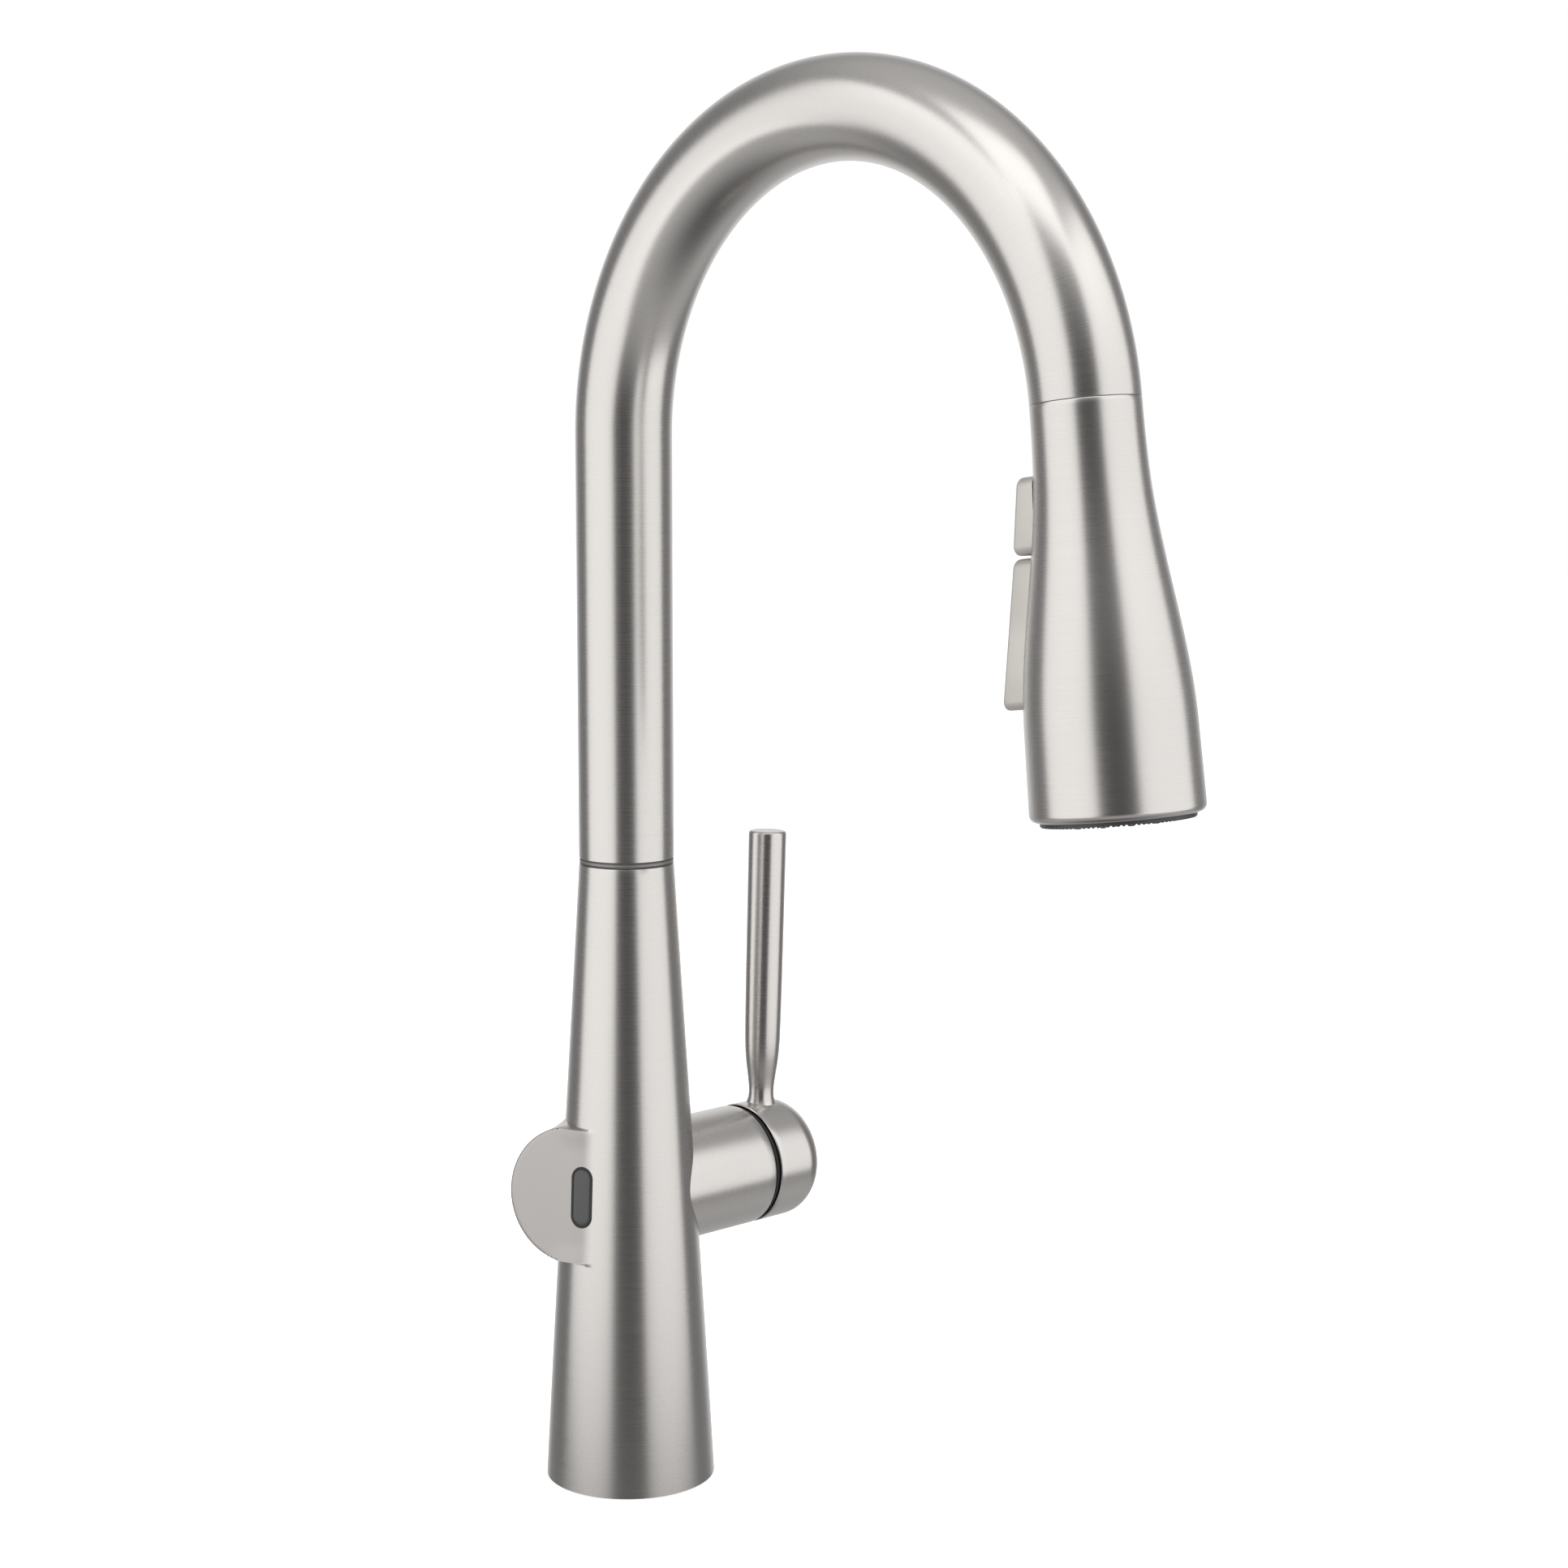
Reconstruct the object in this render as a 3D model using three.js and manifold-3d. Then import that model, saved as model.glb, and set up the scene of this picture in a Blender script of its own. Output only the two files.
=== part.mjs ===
// Pull-down kitchen faucet with a touchless sensor, a side lever and a two-button spray head.
// Frame: millimetres, +Z up, z = 0 on the deck. The spout reaches towards -Y and the lever is on +X.
import * as THREE from "three";
import { mergeVertices } from "three/addons/utils/BufferGeometryUtils.js";
import Module from "manifold-3d";

const wasm = await Module();
wasm.setup();

// ---- Driving dimensions -------------------------------------------------------------------------
const GAP = 0.3; // running and assembly gap between pieces
const BASE_RADIUS = 25.3;
const BODY_TOP = 187;
const BODY_WALL = 3;
const BASE_BORE_RADIUS = 21;
const BASE_BORE_DEPTH = 14;
const HUB_BORE_RADIUS = 12.2;
const HUB_BOTTOM = 142;
const GASKET_HEIGHT = 1.3;
const BLOCK_BOTTOM = 70;
const BLOCK_TOP = 105;
const BLOCK_BORE = 6.2;
const BLOCK_RADIUS = 10.5;
const TUBE_RADIUS = 14;
const TUBE_WALL = 1.8;
const TUBE_BOTTOM = 188.7;
const ARC_START = 312;
const ARC_RADIUS = 87.5;
const ARC_ANGLE = THREE.MathUtils.degToRad(173.1);
const HOSE_RADIUS = 4.5;
const ADAPTER_BOTTOM = 148;
const VALVE_HEIGHT = 87.4;
const VALVE_RADIUS = 18.35;
const VALVE_FACE = 44;
const VALVE_BORE_RADIUS = 16.6;
const CAP_RIM = 46.1;
const CAP_END = 66.5;
const CAP_ROUND = 8;
const PIVOT_X = 38.1; // centre of the ball that the lever rocks on
const DOME_RADIUS = 19.2;
const CARTRIDGE_RADIUS = 15.4;
const STEM_BALL_RADIUS = 5;
const STEM_RADIUS = 3.5;
const STEM_END = 62.6;
const LEVER_X = 54;
const LEVER_LEAN = THREE.MathUtils.degToRad(2);
const LEVER_LENGTH = 84.5;
const LEVER_RADIUS = 5.7;
const LEVER_NECK_RADIUS = 3.8;
const BOSS_AZIMUTH = THREE.MathUtils.degToRad(200);
const BOSS_RADIUS = 20.2;
const BOSS_OFFSET = 9.2;
const BOSS_HEIGHT = 89.5;
const BOSS_DEPTH = 25;
const BOSS_TILT = THREE.MathUtils.degToRad(3.5); // leans with the body's taper
const WINDOW_OFFSET = 4.8;
const WINDOW_WIDTH = 5.8;
const WINDOW_HEIGHT = 17;
const BEZEL_WIDTH = 0.8;
const HEAD_LENGTH = 103.5;
const HEAD_WALL = 2.2;
const HEAD_NECK_END = 17.6; // where the neck turns into the flare, measured down from the joint
const HEAD_NECK_RADIUS = 14.43;
const HEAD_SKIRT_START = 80;
const HEAD_SKIRT_RADIUS = 21.7;
const HEAD_END_RADIUS = 22.2;
const FACE_END = 104.6; // the spray face stands a little out of the head
const FACE_RING_RADIUS = 17.9;
const AERATOR_RADIUS = 9.7;
const WATERWAY_RADIUS = 10;
const BUTTON_TOP = 17.1;
const BUTTON_SPLIT = 37;
const BUTTON_BOTTOM = 75.2;
const UPPER_BUTTON_BACK = 11.8; // distance of the pad's back from the head's axis
const LOWER_BUTTON_BACK = 13.6;
const ROUND = 24; // facets round a large circle
const FINE = 16; // facets round a small one

// ---- Materials ----------------------------------------------------------------------------------
function finish(color, metalness, roughness) {
  return () => new THREE.MeshStandardMaterial({ color, metalness, roughness });
}
const brushedNickel = finish(0xc9c5be, 1, 0.32);
const dullNickel = finish(0xbdb9b2, 0.9, 0.5);
const brass = finish(0xb59a5b, 1, 0.4);
const steel = finish(0x9fa2a6, 1, 0.35);
const darkPlastic = finish(0x3a3a3c, 0, 0.55);
const whitePlastic = finish(0xd9d7d2, 0, 0.6);
const sealRubber = finish(0x1d1d1e, 0, 0.85);
const sensorGlass = finish(0x4a4a4c, 0, 0.15);
const magnetGrey = finish(0x6d6f73, 0.8, 0.5);
const boardGreen = finish(0x1f5a3a, 0, 0.6);
const hoseBraid = finish(0x8f8f92, 0.4, 0.6);

// ---- Geometry helpers ---------------------------------------------------------------------------
function solid(geometry) {
  const bare = new THREE.BufferGeometry();
  const flat = geometry.index ? geometry.toNonIndexed() : geometry;
  bare.setAttribute("position", flat.getAttribute("position"));
  const merged = mergeVertices(bare, 1e-3);
  return new wasm.Manifold(
    new wasm.Mesh({
      numProp: 3,
      vertProperties: merged.attributes.position.array,
      triVerts: new Uint32Array(merged.index.array),
    }),
  );
}

function geometryOf(body) {
  const made = body.getMesh();
  const geometry = new THREE.BufferGeometry();
  geometry.setAttribute("position", new THREE.BufferAttribute(made.vertProperties, 3));
  geometry.setIndex(new THREE.BufferAttribute(made.triVerts, 1));
  return geometry;
}

// Body minus every cutter.
function cut(geometry, ...cutters) {
  return geometryOf(cutters.reduce((body, cutter) => body.subtract(solid(cutter)), solid(geometry)));
}

// All the given bodies as one.
function join(...geometries) {
  return geometryOf(geometries.map(solid).reduce((whole, body) => whole.add(body)));
}

// Turned solid about Z from [radius, height] pairs; the outline may run either way round.
function turned(outline, facets = ROUND) {
  const points = outline.map(([radius, height]) => new THREE.Vector2(radius, height));
  const loop = THREE.ShapeUtils.area(points) > 0 ? points : points.reverse();
  const touchesAxis = loop.some((point) => point.x === 0);
  while (touchesAxis && !(loop[0].x === 0 && loop.at(-1).x === 0)) loop.push(loop.shift());
  if (!touchesAxis) loop.push(loop[0].clone());
  return new THREE.LatheGeometry(loop, facets).rotateX(Math.PI / 2);
}

function ring(inner, outer, bottom, top, facets = ROUND) {
  return turned([[inner, bottom], [outer, bottom], [outer, top], [inner, top]], facets);
}

function disc(radius, bottom, top, facets = ROUND) {
  return turned([[0, bottom], [radius, bottom], [radius, top], [0, top]], facets);
}

// Ring with a round section, such as an O-ring.
function torus(radius, section, height) {
  const outline = [];
  const sides = 6;
  for (let i = 0; i < sides; i += 1) {
    const angle = (i / sides) * 2 * Math.PI;
    outline.push([radius + section * Math.cos(angle), height + section * Math.sin(angle)]);
  }
  return turned(outline);
}

// Turns a solid made about Z so that its axis lies along X.
function alongX(geometry) {
  return geometry.rotateY(Math.PI / 2);
}

function ball(radius, x) {
  return new THREE.SphereGeometry(radius, 32, 20).translate(x, 0, 0);
}

// Straight slot outline with round ends, long way up.
function slotShape(width, height) {
  const shape = new THREE.Shape();
  const radius = width / 2;
  const straight = height / 2 - radius;
  shape.absarc(0, straight, radius, 0, Math.PI, false);
  shape.absarc(0, -straight, radius, Math.PI, 2 * Math.PI, false);
  return shape;
}

function slab(shape, depth, curveSegments = 8) {
  return new THREE.ExtrudeGeometry(shape, { depth, bevelEnabled: false, curveSegments });
}

// Tube with a round section swept along a path; inner = 0 makes it solid.
function swept(path, steps, outer, inner = 0, curveSegments = FINE / 2 - 1) {
  const shape = new THREE.Shape();
  shape.absarc(0, 0, outer, 0, 2 * Math.PI, false);
  if (inner > 0) {
    const hole = new THREE.Path();
    hole.absarc(0, 0, inner, 0, 2 * Math.PI, true);
    shape.holes.push(hole);
  }
  return new THREE.ExtrudeGeometry(shape, { steps, extrudePath: path, curveSegments });
}

function mesh(name, geometry, material) {
  const made = new THREE.Mesh(geometry, material());
  made.name = name;
  made.geometry.computeVertexNormals();
  return made;
}

function group(...children) {
  const made = new THREE.Group();
  made.add(...children);
  return made;
}

// ---- Shared outlines ----------------------------------------------------------------------------
// Outer radius of the tapered body at a height.
function bodyRadius(z) {
  return BASE_RADIUS - 0.0541 * z - 7.46e-5 * z ** 2 + 2.14e-7 * z ** 3;
}

// Outer radius of the spray head at a distance below its joint with the spout.
function headRadius(s) {
  const { lerp, mapLinear, smoothstep } = THREE.MathUtils;
  if (s <= HEAD_NECK_END) return lerp(TUBE_RADIUS, HEAD_NECK_RADIUS, (s / HEAD_NECK_END) ** 2);
  if (s >= HEAD_SKIRT_START) {
    return mapLinear(s, HEAD_SKIRT_START, HEAD_LENGTH, HEAD_SKIRT_RADIUS, HEAD_END_RADIUS);
  }
  const [leaving, arriving] = [3.1, 1.6]; // slopes at the two ends of the flare
  const t = (s - HEAD_NECK_END) / (HEAD_SKIRT_START - HEAD_NECK_END);
  const flare = lerp(HEAD_NECK_RADIUS, HEAD_SKIRT_RADIUS, smoothstep(t, 0, 1));
  return flare + leaving * t * (1 - t) ** 2 - arriving * t ** 2 * (1 - t);
}

// Samples a radius rule into [radius, height] pairs.
function sampled(rule, from, to, steps, offset = 0) {
  const pairs = [];
  for (let i = 0; i <= steps; i += 1) {
    const at = THREE.MathUtils.lerp(from, to, i / steps);
    pairs.push([rule(at) - offset, at]);
  }
  return pairs;
}

// The spout's centre line: straight up, then over in one arc.
class SpoutLine extends THREE.Curve {
  constructor(bottom, shorten = 0) {
    super();
    this.bottom = bottom;
    this.straight = ARC_START - bottom;
    this.total = this.straight + ARC_RADIUS * ARC_ANGLE - shorten;
  }

  getPoint(t, target = new THREE.Vector3()) {
    const run = t * this.total;
    if (run <= this.straight) return target.set(0, 0, this.bottom + run);
    const angle = (run - this.straight) / ARC_RADIUS;
    return target.set(0, ARC_RADIUS * (Math.cos(angle) - 1), ARC_START + ARC_RADIUS * Math.sin(angle));
  }

  getPointAt(t, target) {
    return this.getPoint(t, target);
  }
}

// ---- Body ---------------------------------------------------------------------------------------
// Puts a piece made in XY, facing +Z, on the boss's face; offset runs towards the boss's back.
function bossPlaced(geometry, offset) {
  const out = bodyRadius(BOSS_HEIGHT);
  return geometry
    .rotateX(Math.PI / 2 - BOSS_TILT)
    .rotateZ(BOSS_AZIMUTH + Math.PI / 2)
    .translate(
      out * Math.cos(BOSS_AZIMUTH) + offset * Math.sin(BOSS_AZIMUTH),
      out * Math.sin(BOSS_AZIMUTH) - offset * Math.cos(BOSS_AZIMUTH),
      BOSS_HEIGHT,
    );
}

// The boss that holds the sensor: a round-backed drum set into the side of the body.
function bossBlank() {
  const [lip, round, half] = [0.6, 5, 1.5];
  const outline = [
    [0, 0],
    [BOSS_RADIUS - lip, 0],
    [BOSS_RADIUS, -lip],
    [BOSS_RADIUS, round - BOSS_DEPTH],
    [BOSS_RADIUS - half, half - BOSS_DEPTH],
    [BOSS_RADIUS - round, -BOSS_DEPTH],
    [0, -BOSS_DEPTH],
  ];
  return bossPlaced(turned(outline), BOSS_OFFSET);
}

// The bore up the body: wide for the hoses, then a shoulder and a straight bore for the swivel hub.
function bodyBore() {
  const [below, above, ledge] = [-1, BODY_TOP + 1, HUB_BORE_RADIUS - 2];
  const outline = [
    [0, below],
    [BASE_BORE_RADIUS, below],
    [BASE_BORE_RADIUS, BASE_BORE_DEPTH],
    ...sampled(bodyRadius, BASE_BORE_DEPTH + 3, HUB_BOTTOM - 8, 4, BODY_WALL),
    [ledge, HUB_BOTTOM - 2],
    [ledge, HUB_BOTTOM],
    [HUB_BORE_RADIUS, HUB_BOTTOM],
    [HUB_BORE_RADIUS, above],
    [0, above],
  ];
  return turned(outline);
}

function bodyShell() {
  const skirt = 0.4; // height of the shell's lower edge over the deck
  const column = turned([[0, skirt], ...sampled(bodyRadius, skirt, BODY_TOP, 8), [0, BODY_TOP]], 32);
  const housing = alongX(disc(VALVE_RADIUS, 0, VALVE_FACE)).translate(0, 0, VALVE_HEIGHT);
  const gasketSeat = ring(BASE_BORE_RADIUS - 1, BASE_RADIUS - 1.4, -1, GASKET_HEIGHT + GAP);
  const valveBore = alongX(disc(VALVE_BORE_RADIUS, 12, VALVE_FACE + 1)).translate(0, 0, VALVE_HEIGHT);
  const bossBore = bossPlaced(disc(BOSS_RADIUS - BODY_WALL, BODY_WALL - BOSS_DEPTH, -BODY_WALL), BOSS_OFFSET);
  const clear = 2 * (BEZEL_WIDTH + GAP);
  const windowShape = slotShape(WINDOW_WIDTH + clear, WINDOW_HEIGHT + clear);
  const windowSlug = slab(windowShape, BODY_WALL + 2).translate(0, 0, -BODY_WALL - 1);
  const windowHole = bossPlaced(windowSlug, WINDOW_OFFSET);
  return cut(join(column, bossBlank(), housing), bodyBore(), gasketSeat, valveBore, bossBore, windowHole);
}

// Short threaded end under the valve block that a hose screws on to.
function nipple(name, angle) {
  const [reach, bore, outer, length] = [(BLOCK_BORE + BLOCK_RADIUS) / 2, 1.2, 2.1, 11.7];
  const shape = ring(bore, outer, BLOCK_BOTTOM - GAP - length, BLOCK_BOTTOM - GAP, 12);
  return mesh(name, shape.translate(reach * Math.cos(angle), reach * Math.sin(angle), 0), brass);
}

function bodyParts() {
  const [insertBore, insertBottom, insertTop, chamfer] = [13, 2, 12, 1];
  const insertOutside = BASE_BORE_RADIUS - GAP;
  const insert = turned([
    [insertBore, insertBottom],
    [insertOutside - chamfer, insertBottom],
    [insertOutside, insertBottom + chamfer],
    [insertOutside, insertTop],
    [insertBore, insertTop],
  ]);
  const hub = ring(10, HUB_BORE_RADIUS - GAP, HUB_BOTTOM + GAP, BODY_TOP - 3);
  return group(
    mesh("body_shell", bodyShell(), brushedNickel),
    mesh("base_gasket", ring(BASE_BORE_RADIUS - 3, BASE_RADIUS - 1.8, 0, GASKET_HEIGHT), sealRubber),
    mesh("base_insert", insert, brass),
    mesh("valve_block", ring(BLOCK_BORE, BLOCK_RADIUS, BLOCK_BOTTOM, BLOCK_TOP), brass),
    nipple("hot_inlet", Math.PI / 2),
    nipple("cold_inlet", -Math.PI / 2),
    nipple("mixed_outlet", 0),
    mesh("swivel_hub", hub, whitePlastic),
    mesh("wear_ring", ring(12, TUBE_RADIUS, BODY_TOP + GAP, TUBE_BOTTOM - 0.4), darkPlastic),
  );
}

// ---- Sensor -------------------------------------------------------------------------------------
// Everything here is made facing +Z, with z = 0 on the boss's face, and then put in place.
function sensorParts() {
  const inBoss = (geometry) => bossPlaced(geometry, WINDOW_OFFSET);
  const block = (width, height, depth, middle) =>
    new THREE.BoxGeometry(width, height, depth).translate(0, 0, middle);
  const lens = slab(slotShape(WINDOW_WIDTH, WINDOW_HEIGHT), 3.2).translate(0, 0, -3);
  const bezelShape = slotShape(WINDOW_WIDTH + 2 * BEZEL_WIDTH, WINDOW_HEIGHT + 2 * BEZEL_WIDTH);
  const clear = 0.4;
  bezelShape.holes.push(new THREE.Path(slotShape(WINDOW_WIDTH + clear, WINDOW_HEIGHT + clear).getPoints(8)));
  const bezel = slab(bezelShape, 2.8).translate(0, 0, -2.9);
  const screwReach = 11;
  const holes = [-screwReach, screwReach].map((y) => disc(1.5, -8, -2, 12).translate(0, y, 0));
  const box = cut(block(13, 26, 4, -5.5), block(11, 17.2, 3, -6.5), ...holes);
  const screw = (y) => join(disc(1.2, -7.8, -3.2, 12), disc(2.2, -8.8, -7.7, 12)).translate(0, y, 0);
  return group(
    mesh("sensor_window", inBoss(lens), sensorGlass),
    mesh("sensor_bezel", inBoss(bezel), sealRubber),
    mesh("sensor_case", inBoss(box), darkPlastic),
    mesh("sensor_board", inBoss(block(10, 16.4, 1.2, -6.6)), boardGreen),
    mesh("sensor_screw_top", inBoss(screw(screwReach)), steel),
    mesh("sensor_screw_bottom", inBoss(screw(-screwReach)), steel),
  );
}

// ---- Valve and lever ----------------------------------------------------------------------------
// The cup at the front of the cartridge, with the disc that the lever's ball turns in.
function valveParts() {
  const [back, cupFloor, cupEdge, cupRadius] = [18, 29, 39.8, 12];
  const body = turned([
    [0, back],
    [CARTRIDGE_RADIUS, back],
    [CARTRIDGE_RADIUS, cupEdge],
    [cupRadius, cupEdge],
    [cupRadius, cupFloor],
    [0, cupFloor],
  ]);
  const nut = ring(cupRadius + 0.5, VALVE_BORE_RADIUS - GAP, cupEdge + 0.4, VALVE_FACE - 0.4);
  const beyond = 60;
  const dome = cut(
    ball(DOME_RADIUS, PIVOT_X),
    ball(DOME_RADIUS - 1.5, PIVOT_X),
    new THREE.BoxGeometry(beyond, beyond, beyond).translate(VALVE_FACE + GAP - beyond / 2, 0, 0),
    alongX(disc(11.5, PIVOT_X, beyond)),
  );
  const carrierFront = 42.5;
  const carrier = cut(
    alongX(disc(cupRadius - 0.4, cupFloor + 0.4, carrierFront)),
    ball(STEM_BALL_RADIUS + 0.4, PIVOT_X),
    alongX(turned([[0, PIVOT_X], [4, PIVOT_X], [9, carrierFront + 1.5], [0, carrierFront + 1.5]])),
  );
  const stem = join(ball(STEM_BALL_RADIUS, PIVOT_X), alongX(disc(STEM_RADIUS, PIVOT_X, STEM_END, FINE)));
  return group(
    mesh("cartridge_body", alongX(body), whitePlastic),
    mesh("cartridge_seal", alongX(torus(14, 0.9, back - 1.2)), sealRubber),
    mesh("cartridge_nut", alongX(nut), brass),
    mesh("bonnet_dome", dome, darkPlastic),
    mesh("cartridge_carrier", carrier, whitePlastic),
    mesh("cartridge_stem", stem, steel),
  );
}

// The lever's tapered rod, saddled to sit on the cap, with the threaded foot that holds it.
function leverGeometry() {
  const [start, foot, footRadius] = [16, 13.6, 2.2];
  const top = VALVE_RADIUS + GAP + LEVER_LENGTH;
  const rod = turned(
    [
      [0, start],
      [LEVER_NECK_RADIUS, start],
      [LEVER_NECK_RADIUS + 0.1, start + 5],
      [4.9, start + 14],
      [5.5, start + 22],
      [LEVER_RADIUS, start + 40],
      [LEVER_RADIUS + 0.1, top - 0.8],
      [LEVER_RADIUS - 0.6, top],
      [0, top],
    ],
    FINE,
  );
  const saddle = alongX(disc(VALVE_RADIUS + GAP, -20, 20));
  return join(cut(rod, saddle), disc(footRadius, foot, start + 6, FINE));
}

// The cap's outside: a drum with a rounded end that crowns a little in the middle.
function capBlank() {
  const [steps, crown] = [6, 0.8];
  const end = CAP_END - crown;
  const edge = [];
  for (let i = 0; i <= steps; i += 1) {
    const angle = (i / steps) * (Math.PI / 2);
    edge.push([VALVE_RADIUS - CAP_ROUND * (1 - Math.cos(angle)), end - CAP_ROUND * (1 - Math.sin(angle))]);
  }
  return alongX(turned([[0, CAP_RIM], [VALVE_RADIUS, CAP_RIM], ...edge, [0, CAP_END]]));
}

function handleParts() {
  const [screwX, screwRadius, footHole, beyond] = [60.6, 2.1, 2.6, 30];
  const leverHole = disc(footHole, 0, beyond, FINE).rotateY(LEVER_LEAN).translate(LEVER_X, 0, 0);
  const screwHole = disc(screwRadius + GAP, -beyond, 0, FINE).translate(screwX, 0, 0);
  const socket = alongX(disc(STEM_RADIUS + GAP, LEVER_X - 4, STEM_END + 0.4, FINE));
  const cap = cut(capBlank(), ball(DOME_RADIUS + 0.9, PIVOT_X), socket, leverHole, screwHole);
  const lever = leverGeometry().rotateY(LEVER_LEAN).translate(LEVER_X, 0, 0);
  return group(
    mesh("handle_cap", cap, brushedNickel),
    mesh("handle_lever", lever, brushedNickel),
    mesh("set_screw", disc(screwRadius, -12, -3.9, 12).translate(screwX, 0, 0), steel),
    mesh("screw_plug", disc(screwRadius, -17.9, -13, 12).translate(screwX, 0, 0), darkPlastic),
  );
}

// ---- Spout --------------------------------------------------------------------------------------
// The turning sleeve under the tube: two O-ring grooves, then a collar that fits inside the tube.
function adapterGeometry(grooves) {
  const [bore, sleeve, groove, collar, half] = [7.2, 9.6, 8.3, 11.8, 1];
  const [bottom, shoulder, top] = [ADAPTER_BOTTOM, TUBE_BOTTOM + 0.2, TUBE_BOTTOM + 16];
  const cuts = grooves.flatMap((at) => [
    [sleeve, at - half],
    [groove, at - half],
    [groove, at + half],
    [sleeve, at + half],
  ]);
  const outline = [[bore, bottom], [sleeve, bottom], ...cuts, [sleeve, shoulder], [collar, shoulder]];
  return turned([...outline, [collar, top], [bore, top]]);
}

function spoutParts() {
  const steps = 26;
  const [hoseBottom, connectorReach] = [2, 15.2];
  const [lowerGroove, upperGroove] = [ADAPTER_BOTTOM + 4, ADAPTER_BOTTOM + 12];
  const tube = swept(new SpoutLine(TUBE_BOTTOM, GAP), steps, TUBE_RADIUS, TUBE_RADIUS - TUBE_WALL);
  const hose = swept(new SpoutLine(hoseBottom, connectorReach), steps, HOSE_RADIUS);
  const guide = ring(HOSE_RADIUS + 0.7, 6.9, ADAPTER_BOTTOM + 1, ADAPTER_BOTTOM + 9);
  return group(
    mesh("spout_tube", tube, brushedNickel),
    mesh("spout_adapter", adapterGeometry([lowerGroove, upperGroove]), brass),
    mesh("lower_o_ring", torus(9.1, 0.6, lowerGroove), sealRubber),
    mesh("upper_o_ring", torus(9.1, 0.6, upperGroove), sealRubber),
    mesh("hose_guide", guide, whitePlastic),
    mesh("pull_out_hose", hose, hoseBraid),
  );
}

// Pieces in the spout's mouth, in the head's own frame: z = 0 at the joint, -Z towards the spray face.
function dockParts() {
  const [mouth, top, lip, bore, neck] = [0.5, 9.5, 8.9, 9.4, 7.6];
  const socket = turned([[bore, mouth], [11.5, mouth], [10.9, top], [neck, top], [neck, lip], [bore, lip]]);
  return group(
    mesh("dock_socket", socket, darkPlastic),
    mesh("dock_magnet", ring(neck, bore - GAP, 5, lip - GAP), magnetGrey),
  );
}

// The hose's end fitting, which the head turns on.
function hoseEndParts() {
  const [top, foot, grip, spigot] = [14, -6, 6.2, 4];
  const outline = [[0, top], [5, top], [grip, top - 1], [grip, 6], [spigot, 4.7], [spigot, foot], [0, foot]];
  return group(
    mesh("hose_connector", turned(outline, FINE), brass),
    mesh("connector_seal", torus(4.9, 0.6, -2.5), sealRubber),
  );
}

// ---- Spray head ---------------------------------------------------------------------------------
function buttonHalfWidth(s) {
  return THREE.MathUtils.mapLinear(s, BUTTON_TOP, BUTTON_BOTTOM, 9, 12);
}

// Distance of the pads' outer face from the head's axis.
function buttonFace(s) {
  const t = THREE.MathUtils.mapLinear(s, BUTTON_TOP, BUTTON_BOTTOM, 0, 1);
  return THREE.MathUtils.lerp(17.3, 25.3, 0.7 * t + 0.3 * t ** 2);
}

// Pad between two distances down the head, reaching from the inner level out to the pads' face.
function pad(from, to, grow, inner, outer) {
  const corner = 2.5 + grow;
  const [top, bottom] = [from - grow, to + grow];
  const [wideTop, wideBottom] = [buttonHalfWidth(top) + grow, buttonHalfWidth(bottom) + grow];
  const shape = new THREE.Shape();
  shape.moveTo(0, -top);
  shape.lineTo(wideTop - corner, -top);
  shape.quadraticCurveTo(wideTop, -top, wideTop, -top - corner);
  shape.lineTo(wideBottom, -bottom + corner);
  shape.quadraticCurveTo(wideBottom, -bottom, wideBottom - corner, -bottom);
  shape.lineTo(corner - wideBottom, -bottom);
  shape.quadraticCurveTo(-wideBottom, -bottom, -wideBottom, -bottom + corner);
  shape.lineTo(-wideTop, -top - corner);
  shape.quadraticCurveTo(-wideTop, -top, corner - wideTop, -top);
  shape.closePath();
  const made = slab(shape, 1, 3);
  const position = made.attributes.position;
  for (let i = 0; i < position.count; i += 1) {
    const [x, down, far] = [position.getX(i), position.getY(i), position.getZ(i) > 0.5];
    position.setXYZ(i, -x, far ? outer(-down) : inner, down);
  }
  return made;
}

function headShell() {
  const [edge, roof, past, far] = [1, 6, 1, 40];
  const down = ([radius, s]) => [radius, -s];
  const skin = sampled(headRadius, GAP, HEAD_LENGTH - edge, 12).map(down);
  const hollow = sampled(headRadius, roof, HEAD_LENGTH + past, 7, HEAD_WALL).map(down);
  const outside = turned([[0, -GAP], ...skin, [HEAD_END_RADIUS - edge, -HEAD_LENGTH], [0, -HEAD_LENGTH]]);
  const inside = turned([[0, -roof], ...hollow, [0, -HEAD_LENGTH - past]]);
  const mouth = disc(9.6, -roof - past, past);
  const window = pad(BUTTON_TOP, BUTTON_BOTTOM, GAP, WATERWAY_RADIUS - 2, () => far);
  return cut(outside, inside, mouth, window);
}

// A piece of the given shape at each place of the spray face's two rings of nozzles.
function atNozzles(makePiece) {
  const rows = [[12.2, 10], [15.4, 14]];
  return rows.flatMap(([radius, count]) =>
    Array.from({ length: count }, (_, i) => {
      const angle = (i / count) * 2 * Math.PI;
      return makePiece().translate(radius * Math.cos(angle), radius * Math.sin(angle), 0);
    }));
}

function nozzleMat() {
  const [top, bottom, tipEnd] = [FACE_END - 2.8, FACE_END - 1.4, FACE_END + 0.8];
  const sheet = ring(AERATOR_RADIUS + 0.7, FACE_RING_RADIUS - 0.5, -bottom, -top);
  return join(sheet, ...atNozzles(() => disc(0.8, -tipEnd, GAP - bottom, 6)));
}

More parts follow.
